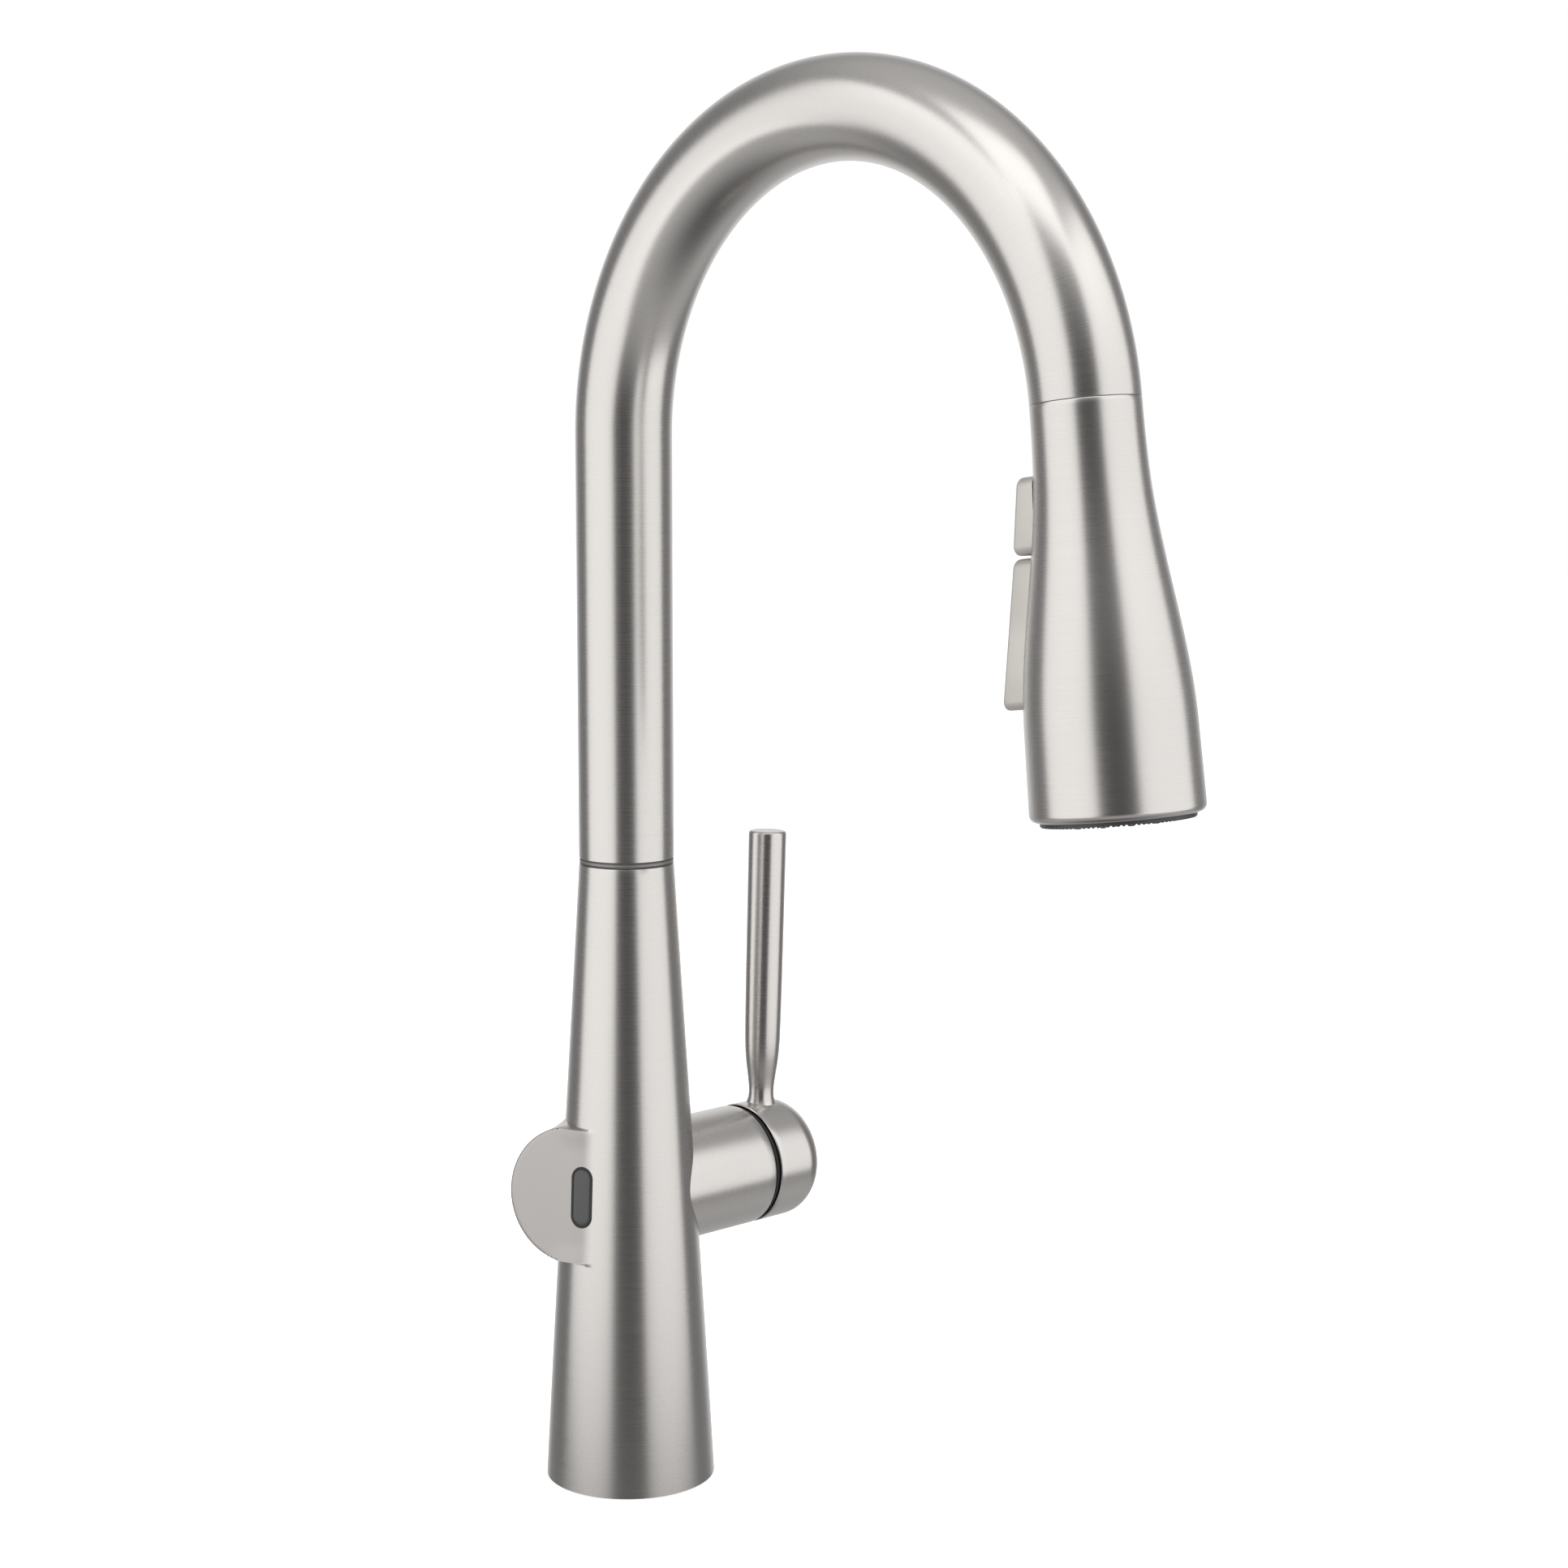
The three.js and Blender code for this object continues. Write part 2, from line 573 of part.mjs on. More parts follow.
function sprayPlate() {
  const [top, bottom, beyond] = [FACE_END - 1, FACE_END + 0.1, 3];
  const plate = ring(AERATOR_RADIUS + GAP, FACE_RING_RADIUS - GAP, -bottom, -top);
  return cut(plate, ...atNozzles(() => disc(1.2, -bottom - beyond, beyond - top, 6)));
}

function aerator() {
  const [holes, pitch, side, reach, depth] = [5, 3.2, 2.2, 7.6, 4];
  const [top, bottom] = [97, FACE_END + 0.3];
  const cutters = [];
  for (let i = 0; i < holes ** 2; i += 1) {
    const x = ((i % holes) - (holes - 1) / 2) * pitch;
    const y = (Math.floor(i / holes) - (holes - 1) / 2) * pitch;
    const cell = new THREE.BoxGeometry(side, side, depth).translate(x, y, -bottom);
    if (Math.hypot(x, y) < reach) cutters.push(cell);
  }
  return cut(disc(AERATOR_RADIUS, -bottom, -top), ...cutters);
}

// A flat coil that narrows as it rises, so that it can be pressed down into itself.
class CoilLine extends THREE.Curve {
  constructor(height) {
    super();
    this.height = height;
  }

  getPoint(t, target = new THREE.Vector3()) {
    const [turns, wide, narrow] = [2.25, 4, 2.1];
    const angle = t * turns * 2 * Math.PI;
    const radius = THREE.MathUtils.lerp(wide, narrow, t);
    return target.set(radius * Math.cos(angle), radius * Math.sin(angle), t * this.height);
  }
}

// The coil behind a button, between the waterway and the pad's back.
function spring(name, s, padBack) {
  const [wire, steps, sideSegments, clear] = [0.25, 36, 3, 0.35];
  const start = WATERWAY_RADIUS + clear + wire;
  const coil = swept(new CoilLine(padBack - clear - wire - start), steps, wire, 0, sideSegments);
  return mesh(name, coil.translate(0, 0, start).rotateX(-Math.PI / 2).translate(0, 0, -s), steel);
}

// The water's way down the head: a core that widens into the tray behind the spray face.
function waterwayGeometry() {
  const [top, neck, trayRadius, trayTop, trayBottom] = [12, 8.6, 16.5, 94, 96.6];
  return turned([
    [0, -top],
    [neck, -top],
    [WATERWAY_RADIUS, -top - 4],
    [WATERWAY_RADIUS, -trayTop + 10],
    [trayRadius, -trayTop],
    [trayRadius, -trayBottom],
    [0, -trayBottom],
  ]);
}

// The collar that docks in the spout, with the bearing for the hose's end fitting.
function collarGeometry() {
  const [bearing, bore, top, foot] = [4.4, 5.6, 4.4, -11.5];
  return turned([
    [bearing, top],
    [7.2, top],
    [8.9, 2.5],
    [9.1, -7.5],
    [7.5, foot],
    [bore, foot],
    [bore, -1.6],
    [bearing, -1.6],
  ]);
}

function sprayHead() {
  const split = 0.35; // half the line between the two pads
  const upper = pad(BUTTON_TOP, BUTTON_SPLIT - split, 0, UPPER_BUTTON_BACK, buttonFace);
  const lower = pad(BUTTON_SPLIT + split, BUTTON_BOTTOM, 0, LOWER_BUTTON_BACK, buttonFace);
  return group(
    mesh("head_shell", headShell(), brushedNickel),
    mesh("head_collar", collarGeometry(), steel),
    mesh("head_waterway", waterwayGeometry(), whitePlastic),
    mesh("rim_ring", ring(FACE_RING_RADIUS, 19.6, -FACE_END, -97.2), darkPlastic),
    mesh("nozzle_mat", nozzleMat(), sealRubber),
    mesh("spray_plate", sprayPlate(), darkPlastic),
    mesh("aerator", aerator(), darkPlastic),
    mesh("upper_button", upper, dullNickel),
    mesh("lower_button", lower, dullNickel),
    spring("upper_spring", (BUTTON_TOP + BUTTON_SPLIT) / 2, UPPER_BUTTON_BACK),
    spring("lower_spring", (BUTTON_SPLIT + BUTTON_BOTTOM) / 2, LOWER_BUTTON_BACK),
  );
}

// ---- Assembly -----------------------------------------------------------------------------------
const faucet = new THREE.Group();
const valve = group(valveParts(), handleParts());
valve.position.set(0, 0, VALVE_HEIGHT);
const headEnd = group(dockParts(), hoseEndParts(), sprayHead());
headEnd.position.copy(new SpoutLine(TUBE_BOTTOM).getPoint(1));
headEnd.rotation.x = ARC_ANGLE - Math.PI;
faucet.add(bodyParts(), sensorParts(), valve, spoutParts(), headEnd);

export default faucet;
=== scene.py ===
"""Looks for the pull-down kitchen faucet: smooth brushed-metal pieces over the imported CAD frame."""

import math

import bmesh
import bpy
import numpy as np
from mathutils import Matrix, Vector


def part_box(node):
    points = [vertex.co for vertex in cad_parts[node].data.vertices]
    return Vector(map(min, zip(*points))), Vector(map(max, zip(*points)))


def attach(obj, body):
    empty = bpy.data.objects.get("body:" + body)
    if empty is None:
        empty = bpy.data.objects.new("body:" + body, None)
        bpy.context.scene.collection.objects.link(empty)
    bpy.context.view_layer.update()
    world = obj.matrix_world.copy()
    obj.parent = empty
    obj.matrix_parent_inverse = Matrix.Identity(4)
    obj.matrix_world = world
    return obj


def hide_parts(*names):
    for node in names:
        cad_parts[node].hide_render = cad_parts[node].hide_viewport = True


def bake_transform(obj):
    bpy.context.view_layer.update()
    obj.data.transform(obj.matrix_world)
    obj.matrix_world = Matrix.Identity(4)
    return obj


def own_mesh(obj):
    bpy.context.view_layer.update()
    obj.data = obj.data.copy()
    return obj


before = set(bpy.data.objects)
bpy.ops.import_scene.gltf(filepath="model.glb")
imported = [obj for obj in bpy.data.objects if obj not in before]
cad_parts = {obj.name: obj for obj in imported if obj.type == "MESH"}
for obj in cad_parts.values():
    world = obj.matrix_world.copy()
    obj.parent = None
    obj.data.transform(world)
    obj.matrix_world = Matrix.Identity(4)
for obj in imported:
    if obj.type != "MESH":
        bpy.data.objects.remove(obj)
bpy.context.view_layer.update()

# ---- Driving sizes, in metres --------------------------------------------------------------------
MM = 0.001
TAU = 2 * math.pi
GAP = 0.3 * MM
SEAM = 0.05 * MM

# Body, with the valve housing on its +X side
BODY_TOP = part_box("body_shell")[1].z
BASE_RADIUS = 25.3 * MM
BASE_EDGE = 0.4 * MM
VALVE_HEIGHT = (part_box("cartridge_body")[0].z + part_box("cartridge_body")[1].z) / 2
VALVE_RADIUS = 18.35 * MM
VALVE_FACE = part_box("body_shell")[1].x

# Handle
CAP_RIM, CAP_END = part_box("handle_cap")[0].x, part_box("handle_cap")[1].x
CAP_ROUND = 8 * MM
PIVOT_X = 38.1 * MM
LEVER_X = 54 * MM
LEVER_LEAN = math.radians(2)
LEVER_LENGTH = 84.5 * MM

# Spout
TUBE_RADIUS = 14 * MM
TUBE_WALL = 1.8 * MM
TUBE_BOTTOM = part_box("spout_tube")[0].z
ARC_START = 312 * MM
ARC_RADIUS = 87.5 * MM
ARC_ANGLE = math.radians(173.1)
STRAIGHT_RUN = ARC_START - TUBE_BOTTOM

# Sensor boss; it faces along its azimuth and is set back to one side of the column
BOSS_AZIMUTH = math.radians(200)
BOSS_RADIUS = 20.2 * MM
BOSS_OFFSET = 9.2 * MM
BOSS_HEIGHT = 89.5 * MM
BOSS_DEPTH = 25 * MM
BOSS_TILT = math.radians(3.5)
WINDOW_OFFSET = 4.8 * MM
WINDOW_WIDTH = 5.8 * MM
WINDOW_HEIGHT = 17 * MM

# Spray head, measured down from its joint with the spout
HEAD_LENGTH = 103.5 * MM
HEAD_END_RADIUS = 22.2 * MM
FACE_END = 104.6 * MM
BUTTON_TOP = 17.1 * MM
BUTTON_SPLIT = 37 * MM
BUTTON_BOTTOM = 75.2 * MM
PAD_CORNER = 2.5 * MM
UPPER_BUTTON_BACK = 11.8 * MM
LOWER_BUTTON_BACK = 13.6 * MM
WATERWAY_RADIUS = 10 * MM

# ---- Camera --------------------------------------------------------------------------------------
CAMERA_PLACE = Vector((-0.5723, -0.6591, 0.3259))
CAMERA_AZIMUTH = math.radians(44.02)
CAMERA_PITCH = math.radians(7.56)
CAMERA_LENS = 68.6


def flat_direction(angle):
    """Level direction, turned from +Y towards +X."""
    return Vector((math.sin(angle), math.cos(angle), 0))


def make_camera():
    data = bpy.data.cameras.new("camera")
    data.lens = CAMERA_LENS
    data.clip_start, data.clip_end = 0.01, 50
    camera = bpy.data.objects.new("camera", data)
    bpy.context.scene.collection.objects.link(camera)
    ahead = flat_direction(CAMERA_AZIMUTH) * math.cos(CAMERA_PITCH) - Vector((0, 0, math.sin(CAMERA_PITCH)))
    camera.location = CAMERA_PLACE
    camera.rotation_mode = "QUATERNION"
    camera.rotation_quaternion = ahead.to_track_quat("-Z", "Y")
    bpy.context.scene.camera = camera


# ---- Materials -----------------------------------------------------------------------------------
class Nodes:
    """The node tree of a material or a world, with short calls to add and join nodes."""

    def __init__(self, owner):
        owner.use_nodes = True
        self.owner = owner
        self.tree = owner.node_tree
        self.shader = self.tree.nodes.get("Principled BSDF")

    def add(self, kind, **values):
        node = self.tree.nodes.new(kind)
        for key, value in values.items():
            if key in node.inputs:
                node.inputs[key].default_value = value
            else:
                setattr(node, key, value)
        return node

    def link(self, source, target):
        self.tree.links.new(source, target)

    def feed(self, source, socket):
        """Joins a source to a socket of the material's shader."""
        self.link(source, self.shader.inputs[socket])

    def fed_by(self, socket):
        """What feeds a socket of the material's shader now."""
        return self.shader.inputs[socket].links[0].from_socket

    def ramp(self, source, stops):
        """Colours from [position, colour] pairs, looked up by the source."""
        node = self.add("ShaderNodeValToRGB")
        elements = node.color_ramp.elements
        while len(elements) < len(stops):
            elements.new(0.5)
        for element, (position, color) in zip(elements, stops):
            element.position = position
            element.color = (*color, 1)
        self.link(source, node.inputs["Fac"])
        return node.outputs["Color"]

    def spread(self, source, low, high):
        """Maps 0..1 to low..high."""
        node = self.add("ShaderNodeMapRange")
        node.inputs["To Min"].default_value = low
        node.inputs["To Max"].default_value = high
        self.link(source, node.inputs["Value"])
        return node.outputs["Result"]

    def bump(self, source, strength, distance):
        node = self.add("ShaderNodeBump")
        node.inputs["Strength"].default_value = strength
        node.inputs["Distance"].default_value = distance
        self.link(source, node.inputs["Height"])
        self.feed(node.outputs["Normal"], "Normal")


def color_sockets(sockets):
    return [socket for socket in sockets if socket.type == "RGBA"]


def shades(color, low, high):
    """Stops from a darker to a lighter shade, over the middle of a noise's range."""
    return [(0.3, [channel * low for channel in color]), (0.7, [channel * high for channel in color])]


def brushed_metal(name, color, roughness, grain=0.022, coords="UV", along=(40, 8000)):
    """Metal with fine scratches that run along the first coordinate."""
    nodes = Nodes(bpy.data.materials.new(name))
    place = nodes.add("ShaderNodeTexCoord")
    stretch = nodes.add("ShaderNodeMapping")
    scale = (along[0], along[1], 1) if coords == "UV" else (along[0], along[0], along[1])
    stretch.inputs["Scale"].default_value = scale
    nodes.link(place.outputs[coords], stretch.inputs["Vector"])
    scratch = nodes.add("ShaderNodeTexNoise", Scale=1.0, Detail=3.0, Roughness=0.5)
    nodes.link(stretch.outputs["Vector"], scratch.inputs["Vector"])
    cloud = nodes.add("ShaderNodeTexNoise", Scale=35.0, Detail=3.0)
    nodes.link(place.outputs["Object"], cloud.inputs["Vector"])
    nodes.feed(nodes.ramp(scratch.outputs["Fac"], shades(color, 0.96, 1.03)), "Base Color")
    mixed = nodes.add("ShaderNodeMath", operation="MULTIPLY_ADD")
    mixed.inputs[1].default_value = 0.25
    nodes.link(cloud.outputs["Fac"], mixed.inputs[0])
    nodes.link(scratch.outputs["Fac"], mixed.inputs[2])
    nodes.feed(nodes.spread(mixed.outputs["Value"], roughness - 0.04, roughness + 0.04), "Roughness")
    nodes.shader.inputs["Metallic"].default_value = 1.0
    nodes.bump(scratch.outputs["Fac"], grain, 0.02 * MM)
    return nodes.owner


def paint_face_shade(material, layer, painted_shade_tone, rougher):
    """Darkens a metal's colour where the mesh's layer says so, as painted shade for the dimmer reflection of
    a face brushed another way; the layer also makes it rougher.
    """
    nodes = Nodes(material)
    mask = nodes.add("ShaderNodeAttribute", attribute_name=layer)
    darker = nodes.add("ShaderNodeMix", data_type="RGBA", blend_type="MULTIPLY")
    plain, shade = color_sockets(darker.inputs)
    # Painted shade: the colour that darkens the masked face.
    shade.default_value = (painted_shade_tone, painted_shade_tone, painted_shade_tone, 1)
    nodes.link(mask.outputs["Fac"], darker.inputs["Factor"])
    nodes.link(nodes.fed_by("Base Color"), plain)
    nodes.feed(color_sockets(darker.outputs)[0], "Base Color")
    rise = nodes.add("ShaderNodeMath", operation="MULTIPLY_ADD")
    rise.inputs[1].default_value = rougher
    nodes.link(mask.outputs["Fac"], rise.inputs[0])
    nodes.link(nodes.fed_by("Roughness"), rise.inputs[2])
    nodes.feed(rise.outputs["Value"], "Roughness")
    return material


def moulded(name, color, roughness, grain_scale=900.0, grain=0.15, metallic=0.0):
    """Plastic, rubber or cast metal with a fine even grain."""
    nodes = Nodes(bpy.data.materials.new(name))
    place = nodes.add("ShaderNodeTexCoord")
    fine = nodes.add("ShaderNodeTexNoise", Scale=grain_scale, Detail=4.0)
    broad = nodes.add("ShaderNodeTexNoise", Scale=45.0, Detail=2.0)
    for texture in (fine, broad):
        nodes.link(place.outputs["Object"], texture.inputs["Vector"])
    nodes.feed(nodes.ramp(broad.outputs["Fac"], shades(color, 0.88, 1.08)), "Base Color")
    nodes.feed(nodes.spread(fine.outputs["Fac"], roughness - 0.07, roughness + 0.07), "Roughness")
    nodes.shader.inputs["Metallic"].default_value = metallic
    nodes.bump(fine.outputs["Fac"], grain, 0.05 * MM)
    return nodes.owner


def braid(name, color):
    """Woven sleeve: two crossed sets of bands round and along the hose."""
    nodes = Nodes(bpy.data.materials.new(name))
    place = nodes.add("ShaderNodeTexCoord")
    heights = []
    for lean in (1, -1):
        turn = nodes.add("ShaderNodeMapping")
        turn.inputs["Rotation"].default_value = (0, lean * math.radians(45), 0)
        nodes.link(place.outputs["Object"], turn.inputs["Vector"])
        wave = nodes.add("ShaderNodeTexWave", Scale=420.0, Distortion=0.4)
        nodes.link(turn.outputs["Vector"], wave.inputs["Vector"])
        heights.append(wave.outputs["Fac"])
    both = nodes.add("ShaderNodeMath", operation="MAXIMUM")
    nodes.link(heights[0], both.inputs[0])
    nodes.link(heights[1], both.inputs[1])
    nodes.feed(nodes.ramp(both.outputs["Value"], shades(color, 0.35, 1)), "Base Color")
    nodes.feed(nodes.spread(both.outputs["Value"], 0.7, 0.4), "Roughness")
    nodes.bump(both.outputs["Value"], 0.6, 0.3 * MM)
    return nodes.owner


NICKEL = (0.6, 0.578, 0.558)


def make_materials():
    return {
        "nickel": brushed_metal("brushed_nickel", NICKEL, 0.27),
        # The boss's flat face gets painted shade: colour times 0.74 for its dimmer reflection, and roughness
        # 0.12 higher.
        "body": paint_face_shade(brushed_metal("body_nickel", NICKEL, 0.27), "boss_face", 0.74, 0.12),
        "ring": moulded("ring_plastic", (0.24, 0.235, 0.23), 0.4, metallic=0.6),
        "button": moulded("blasted_nickel", (0.6, 0.575, 0.54), 0.5, 1500.0, 0.25, 0.85),
        "brass": brushed_metal("turned_brass", (0.63, 0.47, 0.2), 0.35, 0.3, "Object", (200, 2500)),
        "steel": brushed_metal("plain_steel", (0.5, 0.51, 0.53), 0.3, 0.3, "Object", (200, 2500)),
        "white": moulded("white_plastic", (0.72, 0.7, 0.66), 0.5),
        "dark": moulded("dark_plastic", (0.035, 0.035, 0.037), 0.42),
        # Near-black bonnet colour: painted shadow in the gap between the housing and the handle cap.
        "shadow": moulded("bonnet_painted_shadow", (0.012, 0.012, 0.012), 0.55),
        "seal": moulded("seal_rubber", (0.02, 0.02, 0.02), 0.75),
        "nozzle": moulded("nozzle_rubber", (0.07, 0.07, 0.073), 0.5, 1200.0),
        "lens": moulded("sensor_lens", (0.05, 0.05, 0.052), 0.3, 2500.0, 0.05),
        "board": moulded("circuit_board", (0.02, 0.16, 0.07), 0.5),
        "magnet": moulded("magnet", (0.3, 0.3, 0.31), 0.5, 900.0, 0.3, 0.8),
        "braid": braid("hose_braid", (0.42, 0.42, 0.43)),
    }


# ---- Mesh building -------------------------------------------------------------------------------
def smooth(obj, angle=math.radians(40)):
    """Smooth shading, with edges sharper than the angle kept crisp."""
    work = bmesh.new()
    work.from_mesh(obj.data)
    for face in work.faces:
        face.smooth = True
    for edge in work.edges:
        if len(edge.link_faces) == 2:
            edge.smooth = edge.calc_face_angle(0) < angle
    work.to_mesh(obj.data)
    work.free()
    return obj


def add_object(name, vertices, faces, material, uvs=None, angle=math.radians(40)):
    data = bpy.data.meshes.new(name)
    data.from_pydata([tuple(v) for v in vertices], [], faces)
    if uvs is not None:
        layer = data.uv_layers.new(name="UVMap")
        flat = [tuple(uv) for face in uvs for uv in face]
        layer.data.foreach_set("uv", np.array(flat, np.float32).ravel())
    data.materials.append(material)
    obj = bpy.data.objects.new(name, data)
    bpy.context.scene.collection.objects.link(obj)
    work = bmesh.new()
    work.from_mesh(data)
    bmesh.ops.remove_doubles(work, verts=work.verts, dist=1e-7)
    bmesh.ops.recalc_face_normals(work, faces=work.faces)
    work.to_mesh(data)
    work.free()
    return smooth(obj, angle)


def grid_object(name, rows, material, closed_rows=False, angle=math.radians(40)):
    """Skin over rows of points; each row goes once round. UVs run round, then along, in metres."""
    rows = np.array(rows, float)
    count, around = rows.shape[:2]
    vertices = rows.reshape(-1, 3)
    centres = rows.mean(axis=1, keepdims=True)
    radius = float(np.linalg.norm(rows - centres, axis=2).mean())
    steps = np.linalg.norm(np.diff(rows, axis=0, append=rows[:1]), axis=2).mean(axis=1)
    along = np.concatenate([[0], np.cumsum(steps)])
    faces, uvs = [], []
    for i in range(count if closed_rows else count - 1):
        up = (i + 1) % count
        low, high = along[i], along[i + 1]
        for j in range(around):
            right = (j + 1) % around
            faces.append((i * around + j, i * around + right, up * around + right, up * around + j))
            near, far = j / around * TAU * radius, (j + 1) / around * TAU * radius
            uvs.append(((near, low), (far, low), (far, high), (near, high)))
    return add_object(name, vertices, faces, material, uvs, angle)


def turned_rows(outline, around):
    """Rows of points round Z from [radius, height] pairs."""
    angles = np.linspace(0, TAU, around, endpoint=False)
    return [
        np.stack([radius * np.cos(angles), radius * np.sin(angles), np.full(around, height)], 1)
        for radius, height in outline
    ]


def turned_object(name, outline, material, around=128, place=None):
    """Turned solid about Z; an outline that ends off the axis closes on itself."""
    on_axis = outline[0][0] < 1e-6 and outline[-1][0] < 1e-6
    obj = grid_object(name, turned_rows(outline, around), material, not on_axis, math.radians(35))
    if place is not None:
        obj.data.transform(place)
    return obj


def arc_points(centre, radius, start, end, steps):
    """[x, y] pairs on an arc, angles in degrees."""
    angles = np.radians(np.linspace(start, end, steps + 1))
    return [(centre[0] + radius * math.cos(a), centre[1] + radius * math.sin(a)) for a in angles]


def step(value, low, high):
    """Smooth step from 0 to 1."""
    t = np.clip((value - low) / (high - low), 0, 1)
    return t * t * (3 - 2 * t)


def soft_max(a, b, blend):
    """The larger of two, rounded where they meet."""
    h = np.clip(blend - np.abs(a - b), 0, None)
    return np.maximum(a, b) + h * h / (4 * blend)


def soft_min(a, b, blend):
    return -soft_max(-a, -b, blend)


# ---- Shapes shared with the frame ----------------------------------------------------------------
def body_radius(z):
    """Outer radius of the body's long taper."""
    height = z / MM
    return (25.3 - 0.0541 * height - 7.46e-5 * height**2 + 2.14e-7 * height**3) * MM


def head_radius(s):
    """Outer radius of the spray head at a distance below its joint: neck, swept flare and skirt."""
    neck_end, skirt_start, neck_rise, neck_slope, skirt_slope = 17.6, 80, 0.43, 3.1, 1.6
    start, end, rim = TUBE_RADIUS / MM + neck_rise, 21.7, HEAD_END_RADIUS / MM
    at = s / MM
    if at <= neck_end:
        return TUBE_RADIUS + neck_rise * (at / neck_end) ** 2 * MM
    if at >= skirt_start:
        return (end + (rim - end) * (at - skirt_start) / (HEAD_LENGTH / MM - skirt_start)) * MM
    t = (at - neck_end) / (skirt_start - neck_end)
    swept = (2 * t**3 - 3 * t**2 + 1) * start + (3 * t**2 - 2 * t**3) * end
    return (swept + (t**3 - 2 * t**2 + t) * neck_slope + (t**3 - t**2) * skirt_slope) * MM


BOSS_NORMAL = Vector((math.cos(BOSS_AZIMUTH), math.sin(BOSS_AZIMUTH), 0))
BOSS_BACK = Vector((math.sin(BOSS_AZIMUTH), -math.cos(BOSS_AZIMUTH), 0))
BOSS_BACK_AZIMUTH = math.atan2(BOSS_BACK.y, BOSS_BACK.x)
BOSS_FACE = body_radius(BOSS_HEIGHT)
COLUMN_AROUND = 480


def boss_radius(angle, z):
    """How far the boss reaches from the body's axis at an angle and height; 0 where it doesn't."""
    rise = np.clip(1 - ((z - BOSS_HEIGHT) / BOSS_RADIUS) ** 2, 0, None)
    half = BOSS_RADIUS * np.sqrt(rise)
    out = np.cos(angle - BOSS_AZIMUTH)
    back = np.cos(angle - BOSS_BACK_AZIMUTH)
    tiny = 1e-6
    level = body_radius(z)
    behind = (BOSS_DEPTH - level) / np.maximum(-out, tiny)
    face = np.where(out > tiny, level / np.maximum(out, tiny), behind)
    side = np.where(back > tiny, (BOSS_OFFSET + half) / np.maximum(back, tiny), 0)
    return np.where(half > 0, soft_min(face, side, 1.6 * MM), 0)


def body_surface(angle, z):
    """Outer radius of the body: the taper, with the boss faired into it, most at its back."""
    back = np.cos(angle - BOSS_BACK_AZIMUTH)
    rim = step(abs(z - BOSS_HEIGHT), 0.65 * BOSS_RADIUS, BOSS_RADIUS)
    blend = (0.01 + (0.2 + 1.6 * rim) * step(back, 0, 0.3) + 4.3 * step(back, 0.1, 0.6)) * MM
    return soft_max(np.full_like(angle, body_radius(z)), boss_radius(angle, z), blend)


def head_matrix():
    """Places the head's own frame, z = 0 at its joint and -Z to the spray face."""
    end = spout_point(STRAIGHT_RUN + ARC_RADIUS * ARC_ANGLE)
    return Matrix.Translation(end) @ Matrix.Rotation(ARC_ANGLE - math.pi, 4, "X")


def spout_point(run):
    """Point on the spout's centre line, a distance up from the tube's bottom."""
    if run <= STRAIGHT_RUN:
        return Vector((0, 0, TUBE_BOTTOM + run))
    angle = (run - STRAIGHT_RUN) / ARC_RADIUS
    return Vector((0, ARC_RADIUS * (math.cos(angle) - 1), ARC_START + ARC_RADIUS * math.sin(angle)))


def along_x():
    """Turns a solid made about Z so that its axis lies along X at the valve's height."""
    return Matrix.Translation((0, 0, VALVE_HEIGHT)) @ Matrix.Rotation(math.pi / 2, 4, "Y")


# ---- Body ----------------------------------------------------------------------------------------
def mark_boss_face(body):
    """Writes how much each vertex belongs to the boss's flat face, 0 to 1; the body's material paints shade
    there.
    """
    places = np.empty(len(body.data.vertices) * 3, np.float32)
    body.data.vertices.foreach_get("co", places)
    places = places.reshape(-1, 3)
    out = places @ np.array(BOSS_NORMAL)
    back = places @ np.array(BOSS_BACK)
    across = np.hypot(back - BOSS_OFFSET, places[:, 2] - BOSS_HEIGHT)
    depth = body_radius(places[:, 2]) - out
    mask = step(back, 1 * MM, 5 * MM)
    mask *= step(-across, -BOSS_RADIUS - 1 * MM, -BOSS_RADIUS + 0.6 * MM)
    mask *= 1 - step(depth, 0.5 * MM, 1.5 * MM)
    layer = body.data.attributes.new("boss_face", "FLOAT", "POINT")
    layer.data.foreach_set("value", mask.astype(np.float32))


def column_rows():
    """[radius, height] pairs up the column's outside, over its top and down its bore."""
    angles = np.linspace(0, TAU, COLUMN_AROUND, endpoint=False)
    reach = BOSS_RADIUS + 4 * MM
    boss_low, boss_high = BOSS_HEIGHT - reach, BOSS_HEIGHT + reach
    heights = np.concatenate([
        [BASE_EDGE + 0.25 * MM, BASE_EDGE + 0.6 * MM],
        np.linspace(4 * MM, boss_low, 24, endpoint=False),
        np.linspace(boss_low, boss_high, 110, endpoint=False),
        np.linspace(boss_high, BODY_TOP - 0.5 * MM, 30),
    ])
    flat = np.ones(COLUMN_AROUND)
    end = body_radius(BODY_TOP)
    top = [(flat * (end - 0.1 * MM), BODY_TOP - 0.15 * MM), (flat * (end - 0.5 * MM), BODY_TOP)]
    bore = [(12.2, 187), (12.2, 142), (10.2, 142), (10.2, 140), (15.2, 134), (21, 17), (21, 14)]
    recess = [(21, 1.6), (23.9, 1.6), (23.9, 0.4)]
    rows = [(flat * (BASE_RADIUS - 0.5 * MM), BASE_EDGE)]
    rows += [(body_surface(angles, z), z) for z in heights]
    return rows + top + [(flat * radius * MM, height * MM) for radius, height in bore + recess]


def make_column(mats):
    angles = np.linspace(0, TAU, COLUMN_AROUND, endpoint=False)
    points = [
        np.stack([radius * np.cos(angles), radius * np.sin(angles), np.full(COLUMN_AROUND, z)], 1)
        for radius, z in column_rows()
    ]
    column = grid_object("body_column", points, mats["body"], True)
    mark_boss_face(column)
    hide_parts("body_shell")
    return column


